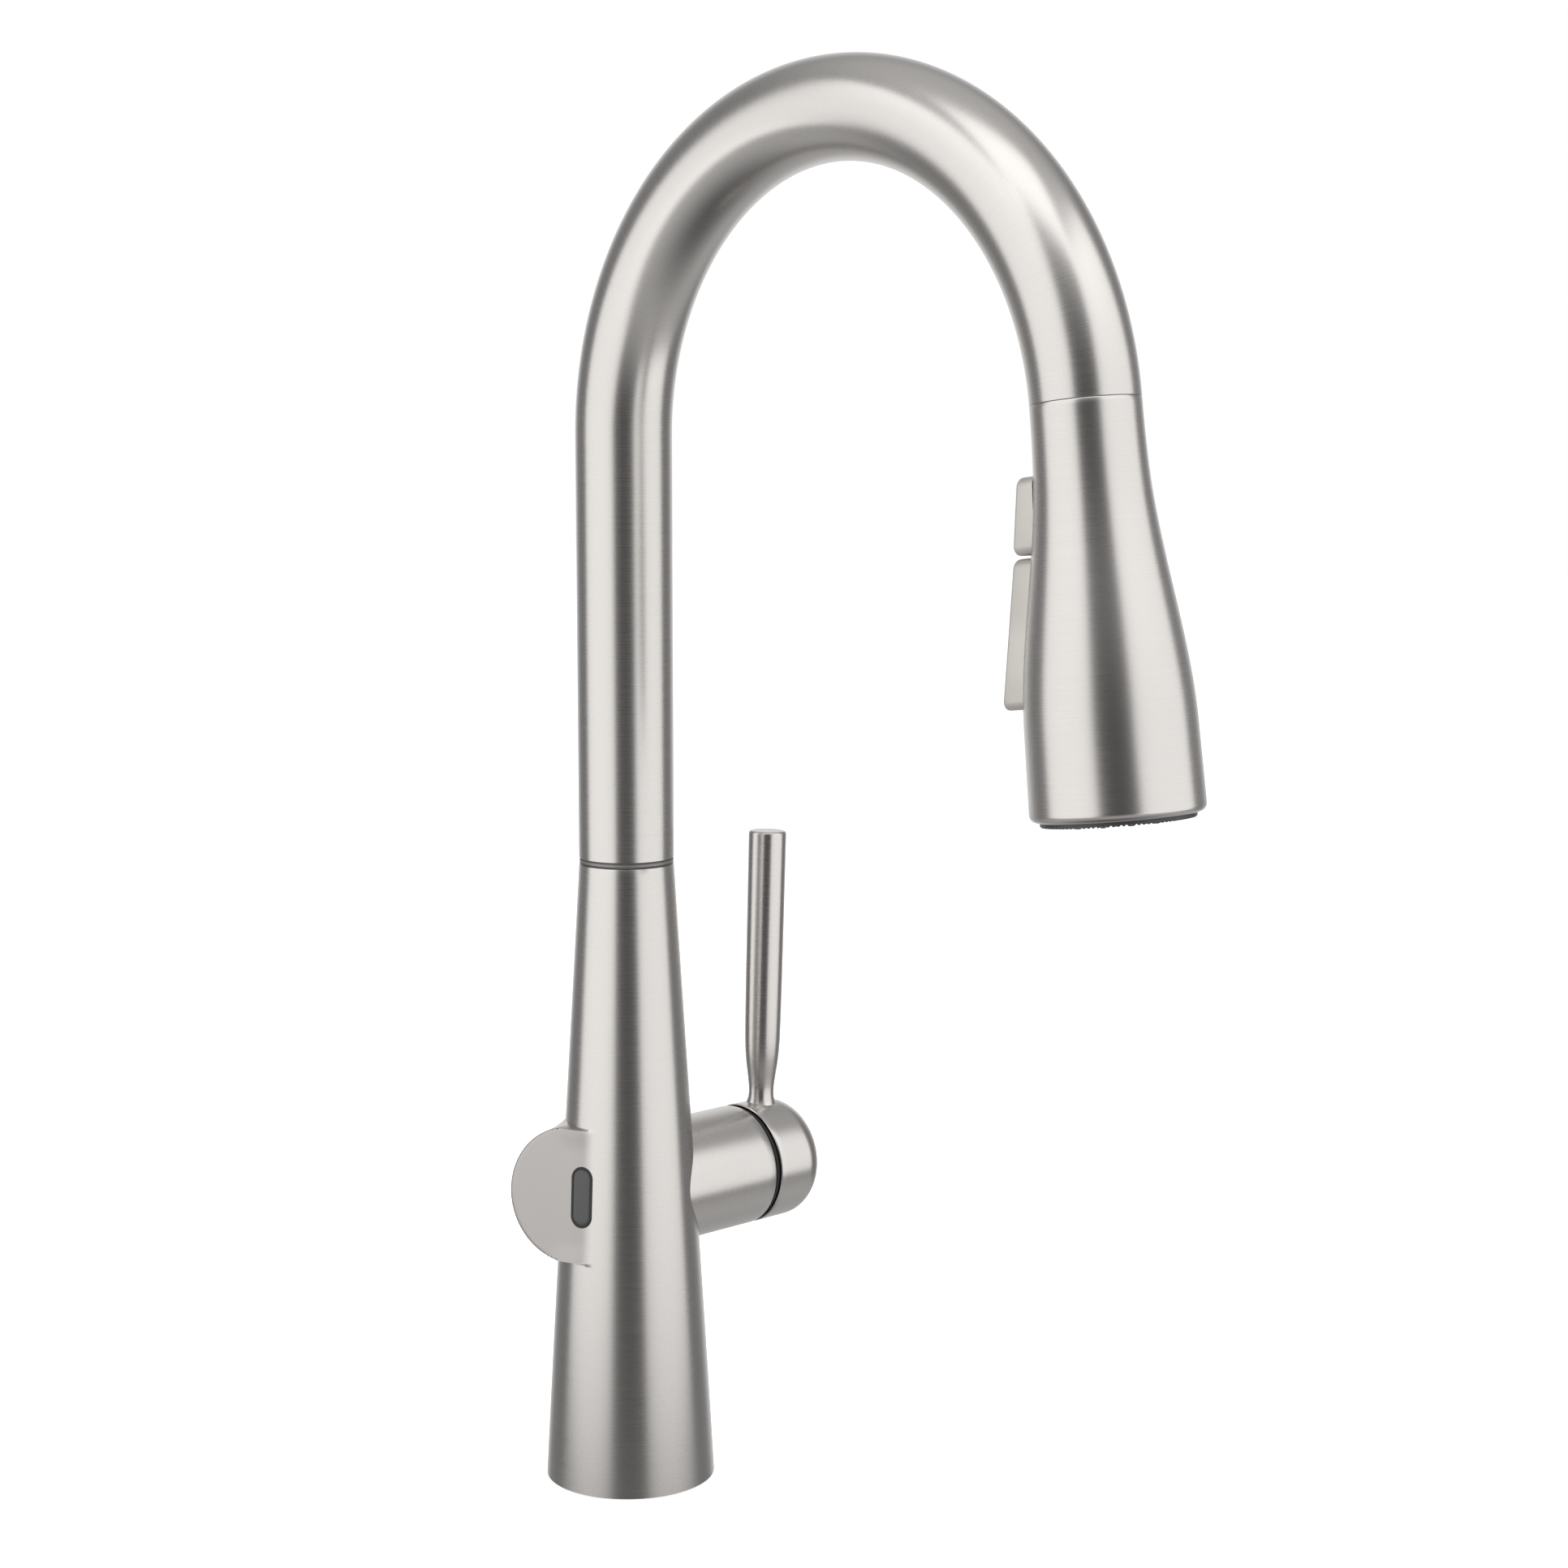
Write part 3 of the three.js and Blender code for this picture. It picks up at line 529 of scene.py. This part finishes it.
def make_housing(mats):
    """The valve's round housing; its inner end is buried in the column."""
    start, end, bore = 4 * MM, VALVE_FACE, 17.2 * MM
    outline = [(bore, start), (VALVE_RADIUS, start)]
    outline += [(VALVE_RADIUS, z) for z in np.linspace(6 * MM, end - 0.6 * MM, 16)]
    outline += [(VALVE_RADIUS - 0.12 * MM, end - 0.15 * MM), (VALVE_RADIUS - 0.5 * MM, end), (bore, end)]
    return turned_object("valve_housing", outline, mats["nickel"], 160, along_x())


def make_body(mats):
    for piece in (make_column(mats), make_housing(mats)):
        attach(piece, "body")


def make_wear_ring(mats):
    """Ring between body and tube, with a raised line round its middle."""
    low, high, wide = BODY_TOP + 0.1 * MM, TUBE_BOTTOM - 0.1 * MM, TUBE_RADIUS - 0.15 * MM
    middle = (low + high) / 2
    groove = wide - 0.35 * MM
    outline = [(12 * MM, low), (wide, low), (groove, low + 0.3 * MM), (groove, middle - 0.3 * MM)]
    outline += [(wide, middle - 0.25 * MM), (wide, middle + 0.25 * MM), (groove, middle + 0.3 * MM)]
    outline += [(groove, high - 0.3 * MM), (wide, high), (12 * MM, high)]
    ring = turned_object("wear_line", outline, mats["ring"], 192)
    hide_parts("wear_ring")
    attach(ring, "body")


def boss_place():
    """Puts a piece made in XY, long way up Y, on the boss's face at the sensor window."""
    across = -BOSS_BACK
    turn = Matrix((across, Vector((0, 0, 1)), BOSS_NORMAL)).transposed().to_4x4()
    turn = turn @ Matrix.Rotation(-BOSS_TILT, 4, "X")
    spot = BOSS_NORMAL * BOSS_FACE + BOSS_BACK * WINDOW_OFFSET + Vector((0, 0, BOSS_HEIGHT))
    return Matrix.Translation(spot) @ turn


def pill_row(inset, level):
    """Points round the window's outline, a straight slot with round ends, drawn in by the inset."""
    count = 64
    radius = WINDOW_WIDTH / 2 - inset
    straight = (WINDOW_HEIGHT - WINDOW_WIDTH) / 2
    angles = np.linspace(0, TAU, count, endpoint=False)
    shift = np.where(np.sin(angles) >= 0, straight, -straight)
    return np.stack([radius * np.cos(angles), radius * np.sin(angles) + shift, np.full(count, level)], 1)


def make_lens(mats):
    outline = [(0, -1), (0, 0), (0.3, 0.12), (1.2, 0.2)]
    rows = [pill_row(inset * MM, level * MM) for inset, level in outline]
    ends = [np.repeat(row.mean(axis=0, keepdims=True), len(row), axis=0) for row in (rows[0], rows[-1])]
    return grid_object("sensor_lens", [ends[0], *rows, ends[1]], mats["lens"], False, math.radians(50))


def make_bezel(mats):
    outline = [(0.3, -1), (0.3, 0.1), (0.1, 0.24), (-0.3, 0.22), (-0.66, 0.08), (-0.7, -1)]
    rows = [pill_row(inset * MM, level * MM) for inset, level in outline]
    return grid_object("sensor_rim", rows, mats["seal"], True)


def make_sensor(mats):
    lens, bezel = make_lens(mats), make_bezel(mats)
    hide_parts("sensor_window")
    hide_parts("sensor_bezel")
    for piece, finish in ((lens, "sensor_lens"), (bezel, "seal_rubber")):
        piece.data.transform(boss_place())
        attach(piece, "body")


def pivot_arc(radius, start, end, steps):
    """[radius, height] pairs on a ball round the handle's pivot, angles in radians from its axis."""
    return [(radius * math.sin(a), PIVOT_X + radius * math.cos(a)) for a in np.linspace(start, end, steps)]


def make_dome(mats):
    """Near-black ball face that closes the gap between housing and cap, however the cap rocks; its colour is
    painted shadow for the gap.
    """
    radius, wall, opening = 19.2 * MM, 1.4 * MM, 11.5 * MM
    start, end = math.acos((VALVE_FACE + GAP - PIVOT_X) / radius), math.asin(opening / radius)
    outer = pivot_arc(radius, start, end, 20)
    inner = pivot_arc(radius - wall, end * 1.08, start * 0.96, 12)
    dome = turned_object("bonnet", outer + inner, mats["shadow"], 128, along_x())
    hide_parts("bonnet_dome")
    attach(dome, "body")


# ---- Handle --------------------------------------------------------------------------------------
def cap_outline():
    """Ball-shaped hollow, rim, wall, round corner and slightly crowned end of the cap."""
    crown = 0.6 * MM
    end = CAP_END - crown
    flat = VALVE_RADIUS - CAP_ROUND
    hollow = pivot_arc(20.1 * MM, 0, math.radians(64), 24)
    rim = [(VALVE_RADIUS - 0.35 * MM, CAP_RIM + 0.1 * MM), (VALVE_RADIUS - 0.05 * MM, CAP_RIM + 0.35 * MM)]
    wall = [(VALVE_RADIUS, z) for z in np.linspace(CAP_RIM + 0.8 * MM, end - CAP_ROUND, 8)]
    corner = arc_points((flat, end - CAP_ROUND), CAP_ROUND, 3, 84, 22)
    face = [(flat * t, end + 0.55 * MM * (1 - t * t)) for t in np.linspace(0.98, 0, 8)]
    return hollow + rim + wall + corner + face


def rod_outline():
    """Flared foot, thin waist and straight rod of the lever, with a rounded top edge."""
    foot, top = 16 * MM, VALVE_RADIUS + GAP + LEVER_LENGTH
    edge, radius = 0.8 * MM, 5.8 * MM
    waist = [(5.2, 1.0), (4.5, 2.2), (4.0, 3.6), (3.85, 5.2), (3.95, 7.5), (4.4, 11), (4.9, 14.5)]
    rod = [(5.25, 18), (5.45, 22), (5.55, 28), (5.65, 40), (5.72, 60)]
    outline = [(0, foot)] + [(wide * MM, foot + rise * MM) for wide, rise in waist + rod]
    outline.append((radius, top - 1.0 * MM))
    outline += arc_points((radius - edge, top - edge), edge, 0, 90, 5)[1:]
    return outline + [(3 * MM, top), (0, top)]


def make_handle(mats):
    cap = turned_object("handle_knob", cap_outline(), mats["nickel"], 192, along_x())
    place = Matrix.Translation((LEVER_X, 0, VALVE_HEIGHT)) @ Matrix.Rotation(LEVER_LEAN, 4, "Y")
    lever = turned_object("lever_rod", rod_outline(), mats["nickel"], 96, place)
    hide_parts("handle_cap")
    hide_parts("handle_lever")
    for piece in (cap, lever):
        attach(piece, "handle")


# ---- Spout ---------------------------------------------------------------------------------------
def ring_at(run, radius):
    """Points round the spout's centre line at a distance along it."""
    angles = np.linspace(0, TAU, 128, endpoint=False)
    lean = max(0.0, (run - STRAIGHT_RUN) / ARC_RADIUS)
    outward = np.array((0, math.cos(lean), math.sin(lean)))
    side = np.array((1.0, 0, 0))
    offsets = np.outer(np.cos(angles), side) + np.outer(np.sin(angles), outward)
    return np.array(spout_point(run)) + radius * offsets


def make_spout(mats):
    edge, bore = 0.12 * MM, TUBE_RADIUS - TUBE_WALL
    total = STRAIGHT_RUN + ARC_RADIUS * ARC_ANGLE - SEAM
    straight = np.linspace(4 * MM, STRAIGHT_RUN, 30)
    bend = np.linspace(STRAIGHT_RUN, total - edge, 150)[1:]
    rows = [ring_at(0, TUBE_RADIUS - edge)]
    rows += [ring_at(run, TUBE_RADIUS) for run in (edge, *straight, *bend)]
    rows.append(ring_at(total, TUBE_RADIUS - edge))
    rows += [ring_at(run, bore) for run in (total, total - 20 * MM)]
    rows += [ring_at(run, bore) for run in np.linspace(total - 24 * MM, STRAIGHT_RUN, 30)]
    rows.append(ring_at(0, bore))
    tube = grid_object("gooseneck", rows, mats["nickel"], True)
    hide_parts("spout_tube")
    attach(tube, "spout")


def make_hose_tail(mats):
    """The stretch of hose that draws out of the spout as the head is pulled."""
    place = head_matrix()
    levels = [(4.3, 17.0), (4.7, 16.6), (4.7, 15.0), (4.7, 13.6), (4.3, 13.2)]
    rows = turned_rows([(radius * MM, level * MM) for radius, level in levels], 48)
    caps = [rows[0] * [0, 0, 1], rows[-1] * [0, 0, 1]]
    tail = grid_object("hose_tail", [caps[0], *rows, caps[1]], mats["braid"])
    tail.data.transform(place)
    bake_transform(tail)


# ---- Spray head ----------------------------------------------------------------------------------
def button_half_width(s):
    """Half a pad's width at a distance down the head."""
    return (9 + 3 * (s - BUTTON_TOP) / (BUTTON_BOTTOM - BUTTON_TOP)) * MM


def button_face(s):
    """How far a pad's face stands from the head's axis at a distance down the head."""
    t = (s - BUTTON_TOP) / (BUTTON_BOTTOM - BUTTON_TOP)
    return (17.3 + 8 * (0.7 * t + 0.3 * t * t)) * MM


def pad_row(first, last, grow, corner, level):
    """Points round a pad's outline; level gives each point's distance from the head's axis."""
    top, bottom = first - grow, last + grow
    round_by = corner + grow
    points = []
    for side, end, start in ((1, top, 0), (-1, top, 90), (-1, bottom, 180), (1, bottom, 270)):
        across = side * (button_half_width(end) + grow - round_by)
        down = end + round_by if end == top else end - round_by
        points += arc_points((across, -down), round_by, start, start + 90, 8)
    return np.array([(x, level(-y), y) for x, y in points])


def pad_object(name, first, last, grow, corner, rings, material):
    """Skin over pad outlines given as [inset, level rule] pairs, closed at both ends."""
    rows = [pad_row(first, last, grow - inset, corner, level) for inset, level in rings]
    count = len(rows[0])
    faces = [tuple(range(count)), tuple(range((len(rows) - 1) * count, len(rows) * count))]
    for low in range(0, (len(rows) - 1) * count, count):
        high = low + count
        for j in range(count):
            right = (j + 1) % count
            faces.append((low + j, low + right, high + right, high + j))
    return add_object(name, np.concatenate(rows), faces, material, None, math.radians(30))


def make_button(name, node, first, last, inner, mats):
    edge = 1.0 * MM
    rings = [(0, lambda s: inner), (0, lambda s: button_face(s) - edge)]
    for angle in np.radians([25, 50, 75]):
        inset, drop = edge * (1 - math.cos(angle)), edge * (1 - math.sin(angle))
        rings.append((inset, lambda s, drop=drop: button_face(s) - drop))
    rings.append((edge + 0.1 * MM, button_face))
    button = pad_object(name, first, last, 0.0, PAD_CORNER, rings, mats["button"])
    button.data.transform(head_matrix())
    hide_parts(node)
    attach(button, node)


def coil_rows(near, far, along, wire):
    """Rings round the wire of a coil that narrows from near to far out of the head's axis."""
    turns, wide, narrow = 2.25, 4 * MM, 2.1 * MM
    around = np.linspace(0, TAU, 10, endpoint=False)
    rows = []
    for t in np.linspace(0, 1, 90):
        angle = TAU * turns * t
        radial = np.array([math.cos(angle), 0, -math.sin(angle)])
        middle = radial * (wide + t * (narrow - wide)) + [0, near + t * (far - near), -along]
        rows.append(np.array([middle + wire * (math.cos(a) * radial + [0, math.sin(a), 0]) for a in around]))
    return rows


def make_spring(name, node, along, back, mats):
    """Coil behind a button, reaching from the waterway to the pad's back."""
    wire, clear = 0.25 * MM, 0.35 * MM
    low, high = WATERWAY_RADIUS + clear, back - clear
    rows = coil_rows(low + wire, high - wire, along, wire)
    caps = [np.repeat(row.mean(axis=0, keepdims=True), len(row), axis=0) for row in (rows[0], rows[-1])]
    coil = grid_object(name, [caps[0], *rows, caps[1]], mats["steel"])
    place = head_matrix()
    coil.data.transform(place)
    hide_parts(node)
    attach(coil, "head")
    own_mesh(coil)


def cut_away(obj, cutter):
    """Takes the cutter out of the object, for good."""
    modifier = obj.modifiers.new("cut", "BOOLEAN")
    modifier.object = cutter
    modifier.operation = "DIFFERENCE"
    modifier.solver = "EXACT"
    depsgraph = bpy.context.evaluated_depsgraph_get()
    made = bpy.data.meshes.new_from_object(obj.evaluated_get(depsgraph))
    obj.modifiers.clear()
    obj.data = made
    bpy.data.objects.remove(cutter)


def make_buttons(mats):
    """Two pads in one line, and the spring behind the middle of each."""
    half_split = 0.35 * MM
    upper, lower = BUTTON_SPLIT - half_split, BUTTON_SPLIT + half_split
    make_button("spray_button", "upper_button", BUTTON_TOP, upper, UPPER_BUTTON_BACK, mats)
    make_button("stream_button", "lower_button", lower, BUTTON_BOTTOM, LOWER_BUTTON_BACK, mats)
    upper, lower = (BUTTON_TOP + BUTTON_SPLIT) / 2, (BUTTON_SPLIT + BUTTON_BOTTOM) / 2
    make_spring("spray_spring", "upper_spring", upper, UPPER_BUTTON_BACK, mats)
    make_spring("stream_spring", "lower_spring", lower, LOWER_BUTTON_BACK, mats)


def shell_outline():
    """Outside, rounded lower rim and stepped inside of the head's shell."""
    round_by, mouth = 2.1 * MM, 9.6 * MM
    skin = [(head_radius(s), -s) for s in np.linspace(0.3 * MM, HEAD_LENGTH - 2.4 * MM, 84)]
    centre = (HEAD_END_RADIUS - round_by, -(HEAD_LENGTH - round_by))
    rim = arc_points(centre, round_by - 0.05 * MM, -4, -90, 10)
    inside = [(20.0, 103.4), (19.95, 103.1), (19.95, 97), (16.9, 70), (13.5, 40), (12.0, 14), (11.8, 6)]
    outline = [(mouth, -SEAM), (TUBE_RADIUS - 0.12 * MM, -SEAM)] + skin + rim
    outline += [(radius * MM, -s * MM) for radius, s in inside]
    return outline + [(mouth, -6 * MM)]


def make_head(mats):
    shell = turned_object("spray_head", shell_outline(), mats["nickel"], 192)
    through = [(0, lambda s: 8 * MM), (0, lambda s: 40 * MM)]
    cutter = pad_object("pad_cutter", BUTTON_TOP, BUTTON_BOTTOM, GAP, PAD_CORNER, through, mats["nickel"])
    cut_away(shell, cutter)
    smooth(shell, math.radians(35))
    shell.data.transform(head_matrix())
    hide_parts("head_shell")
    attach(shell, "head")


def make_face_ring(mats):
    """Ring round the spray face, ribbed along its edge."""
    ribs, per_rib, rib_depth = 96, 4, 0.35 * MM
    around = ribs * per_rib
    angles = np.linspace(0, TAU, around, endpoint=False)
    wave = (np.arange(around) % per_rib < per_rib / 2) * rib_depth
    end, back = FACE_END / MM, 97.4
    inner_side = [(17.8, end - 1.6, 0), (18.1, end, 1)]
    outer_side = [(19.3, end + 0.1, 1), (19.65, end - 0.3, 0)]
    rows = [
        np.stack([radius * MM * np.cos(angles), radius * MM * np.sin(angles), -s * MM + ribbed * wave], 1)
        for radius, s, ribbed in inner_side + outer_side + [(19.65, back, 0), (17.8, back, 0)]
    ]
    return grid_object("face_ring", rows, mats["dark"], True)


def make_face_plate(mats):
    """Flat ring that carries the nozzles, with the aerator's hole in its middle."""
    rises = [(10, -0.2), (10.3, 0.2), (17.3, -0.2), (17.6, -0.5), (17.6, -1), (10, -1)]
    outline = [(radius * MM, -FACE_END - rise * MM) for radius, rise in rises]
    return turned_object("face_plate", outline, mats["dark"], 96)


def make_nozzles(mats):
    """Two circles of soft tips, each with a dimple at its end."""
    rises = [(0, -2), (1.15, -2), (1.1, 0), (0.75, 0.35), (0.55, 0.45), (0.35, 0.35), (0.3, 0), (0, 0)]
    outline = [(radius * MM, -FACE_END - rise * MM) for radius, rise in rises]
    tips = []
    for radius, count in ((12.2 * MM, 10), (15.4 * MM, 14)):
        for angle in np.linspace(0, TAU, count, endpoint=False):
            tip = turned_object("nozzle", outline, mats["nozzle"], 16)
            spot = (radius * math.cos(angle), radius * math.sin(angle), 0)
            tip.data.transform(Matrix.Translation(spot))
            tips.append(tip)
    with bpy.context.temp_override(active_object=tips[0], selected_editable_objects=tips):
        bpy.ops.object.join()
    tips[0].name = "nozzle_tips"
    return tips[0]


def make_spray_face(mats):
    for piece, node, finish in (
        (make_face_ring(mats), "rim_ring", "dark_plastic"),
        (make_face_plate(mats), "spray_plate", "dark_plastic"),
        (make_nozzles(mats), "nozzle_mat", "nozzle_rubber"),
    ):
        piece.data.transform(head_matrix())
        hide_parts(node)
        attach(piece, "head")


# ---- Pieces kept from the frame ------------------------------------------------------------------
CAD_LOOKS = {
    "brass": ["base_insert", "valve_block", "hot_inlet", "cold_inlet", "mixed_outlet", "cartridge_nut",
              "spout_adapter", "hose_connector"],
    "steel": ["sensor_screw_top", "sensor_screw_bottom", "cartridge_stem", "set_screw", "head_collar"],
    "white": ["swivel_hub", "cartridge_body", "cartridge_carrier", "hose_guide", "head_waterway"],
    "dark": ["sensor_case", "screw_plug", "dock_socket", "aerator"],
    "seal": ["base_gasket", "cartridge_seal", "lower_o_ring", "upper_o_ring", "connector_seal"],
    "board": ["sensor_board"],
    "magnet": ["dock_magnet"],
    "braid": ["pull_out_hose"],
}


def dress_cad(mats):
    for look, names in CAD_LOOKS.items():
        for name in names:
            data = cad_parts[name].data
            data.materials.clear()
            data.materials.append(mats[look])


# ---- Light and floor -----------------------------------------------------------------------------
# Grey level of the room from straight down (0) to straight up (1), and of the backdrop from
# beside the faucet (0) to straight behind it (1).
ROOM_STOPS = [
    (0, 0.1), (0.05, 0.3), (0.14, 0.55), (0.24, 0.5), (0.38, 0.05), (0.62, 0.05), (0.76, 0.22), (0.92, 0.6),
]
BACKDROP_STOPS = [(0, 0.07), (0.3, 0.16), (0.75, 0.3), (0.92, 0.9), (1, 1)]


def greys(stops):
    return [(position, (level, level, level)) for position, level in stops]


def room_color(nodes):
    """Colour of the room by direction, as the metal sees it."""
    place = nodes.add("ShaderNodeTexCoord").outputs["Generated"]
    parts = nodes.add("ShaderNodeSeparateXYZ")
    nodes.link(place, parts.inputs["Vector"])
    height = nodes.add("ShaderNodeMapRange")
    height.inputs["From Min"].default_value = -1
    nodes.link(parts.outputs["Z"], height.inputs["Value"])
    toward = nodes.add("ShaderNodeVectorMath", operation="DOT_PRODUCT")
    toward.inputs[1].default_value = flat_direction(CAMERA_AZIMUTH)
    nodes.link(place, toward.inputs[0])
    both = nodes.add("ShaderNodeMix", data_type="RGBA", blend_type="LIGHTEN")
    both.inputs["Factor"].default_value = 1
    room, backdrop = color_sockets(both.inputs)
    nodes.link(nodes.ramp(height.outputs["Result"], greys(ROOM_STOPS)), room)
    nodes.link(nodes.ramp(toward.outputs["Value"], greys(BACKDROP_STOPS)), backdrop)
    return color_sockets(both.outputs)[0]


def make_world():
    """White to the camera; to the metal, a dim room that is bright behind and paler above and below."""
    world = bpy.data.worlds.new("studio")
    bpy.context.scene.world = world
    nodes = Nodes(world)
    seen = nodes.tree.nodes["Background"]
    seen.inputs["Color"].default_value = (1, 1, 1, 1)
    lit = nodes.add("ShaderNodeBackground")
    nodes.link(room_color(nodes), lit.inputs["Color"])
    path = nodes.add("ShaderNodeLightPath")
    mix = nodes.add("ShaderNodeMixShader")
    nodes.link(path.outputs["Is Camera Ray"], mix.inputs["Fac"])
    nodes.link(lit.outputs["Background"], mix.inputs[1])
    nodes.link(seen.outputs["Background"], mix.inputs[2])
    nodes.link(mix.outputs["Shader"], nodes.tree.nodes["World Output"].inputs["Surface"])


def make_panel(name, bearing, distance, size, height, power, aim_height=None):
    """Soft light panel facing the body's axis; bearing 0 is at the camera, positive to its right."""
    light = bpy.data.lights.new(name, "AREA")
    light.shape = "RECTANGLE"
    light.size, light.size_y = size
    light.energy = power
    panel = bpy.data.objects.new(name, light)
    bpy.context.scene.collection.objects.link(panel)
    toward = -flat_direction(CAMERA_AZIMUTH - math.radians(bearing))
    place = toward * distance + Vector((0, 0, height))
    target = Vector((0, 0, height if aim_height is None else aim_height))
    panel.location = place
    panel.rotation_mode = "QUATERNION"
    panel.rotation_quaternion = (target - place).to_track_quat("-Z", "Y")


def make_floor():
    bpy.ops.mesh.primitive_plane_add(size=8, location=(0, 0, 0))
    floor = bpy.context.active_object
    floor.name = "floor"
    nodes = Nodes(bpy.data.materials.new("pale_floor"))
    nodes.shader.inputs["Base Color"].default_value = (0.9, 0.9, 0.9, 1)
    nodes.shader.inputs["Roughness"].default_value = 0.9
    nodes.shader.inputs["Emission Color"].default_value = (1, 1, 1, 1)
    nodes.shader.inputs["Emission Strength"].default_value = 0.75
    floor.data.materials.append(nodes.owner)
    floor.visible_glossy = False


def make_studio():
    bpy.context.scene.view_settings.view_transform = "Standard"
    make_world()
    make_panel("panel_left", -61, 1.1, (1.75, 1.94), 0.68, 13.9)
    make_panel("panel_right", 64, 1.1, (1.7, 1.94), 0.68, 12.9)
    make_panel("panel_top", 0, 0.7, (1.3, 1.0), 1.7, 5, 0.3)
    make_floor()


def main():
    make_camera()
    mats = make_materials()
    make_studio()
    make_body(mats)
    make_wear_ring(mats)
    make_sensor(mats)
    make_dome(mats)
    make_handle(mats)
    make_spout(mats)
    make_hose_tail(mats)
    make_head(mats)
    make_buttons(mats)
    make_spray_face(mats)
    dress_cad(mats)


main()
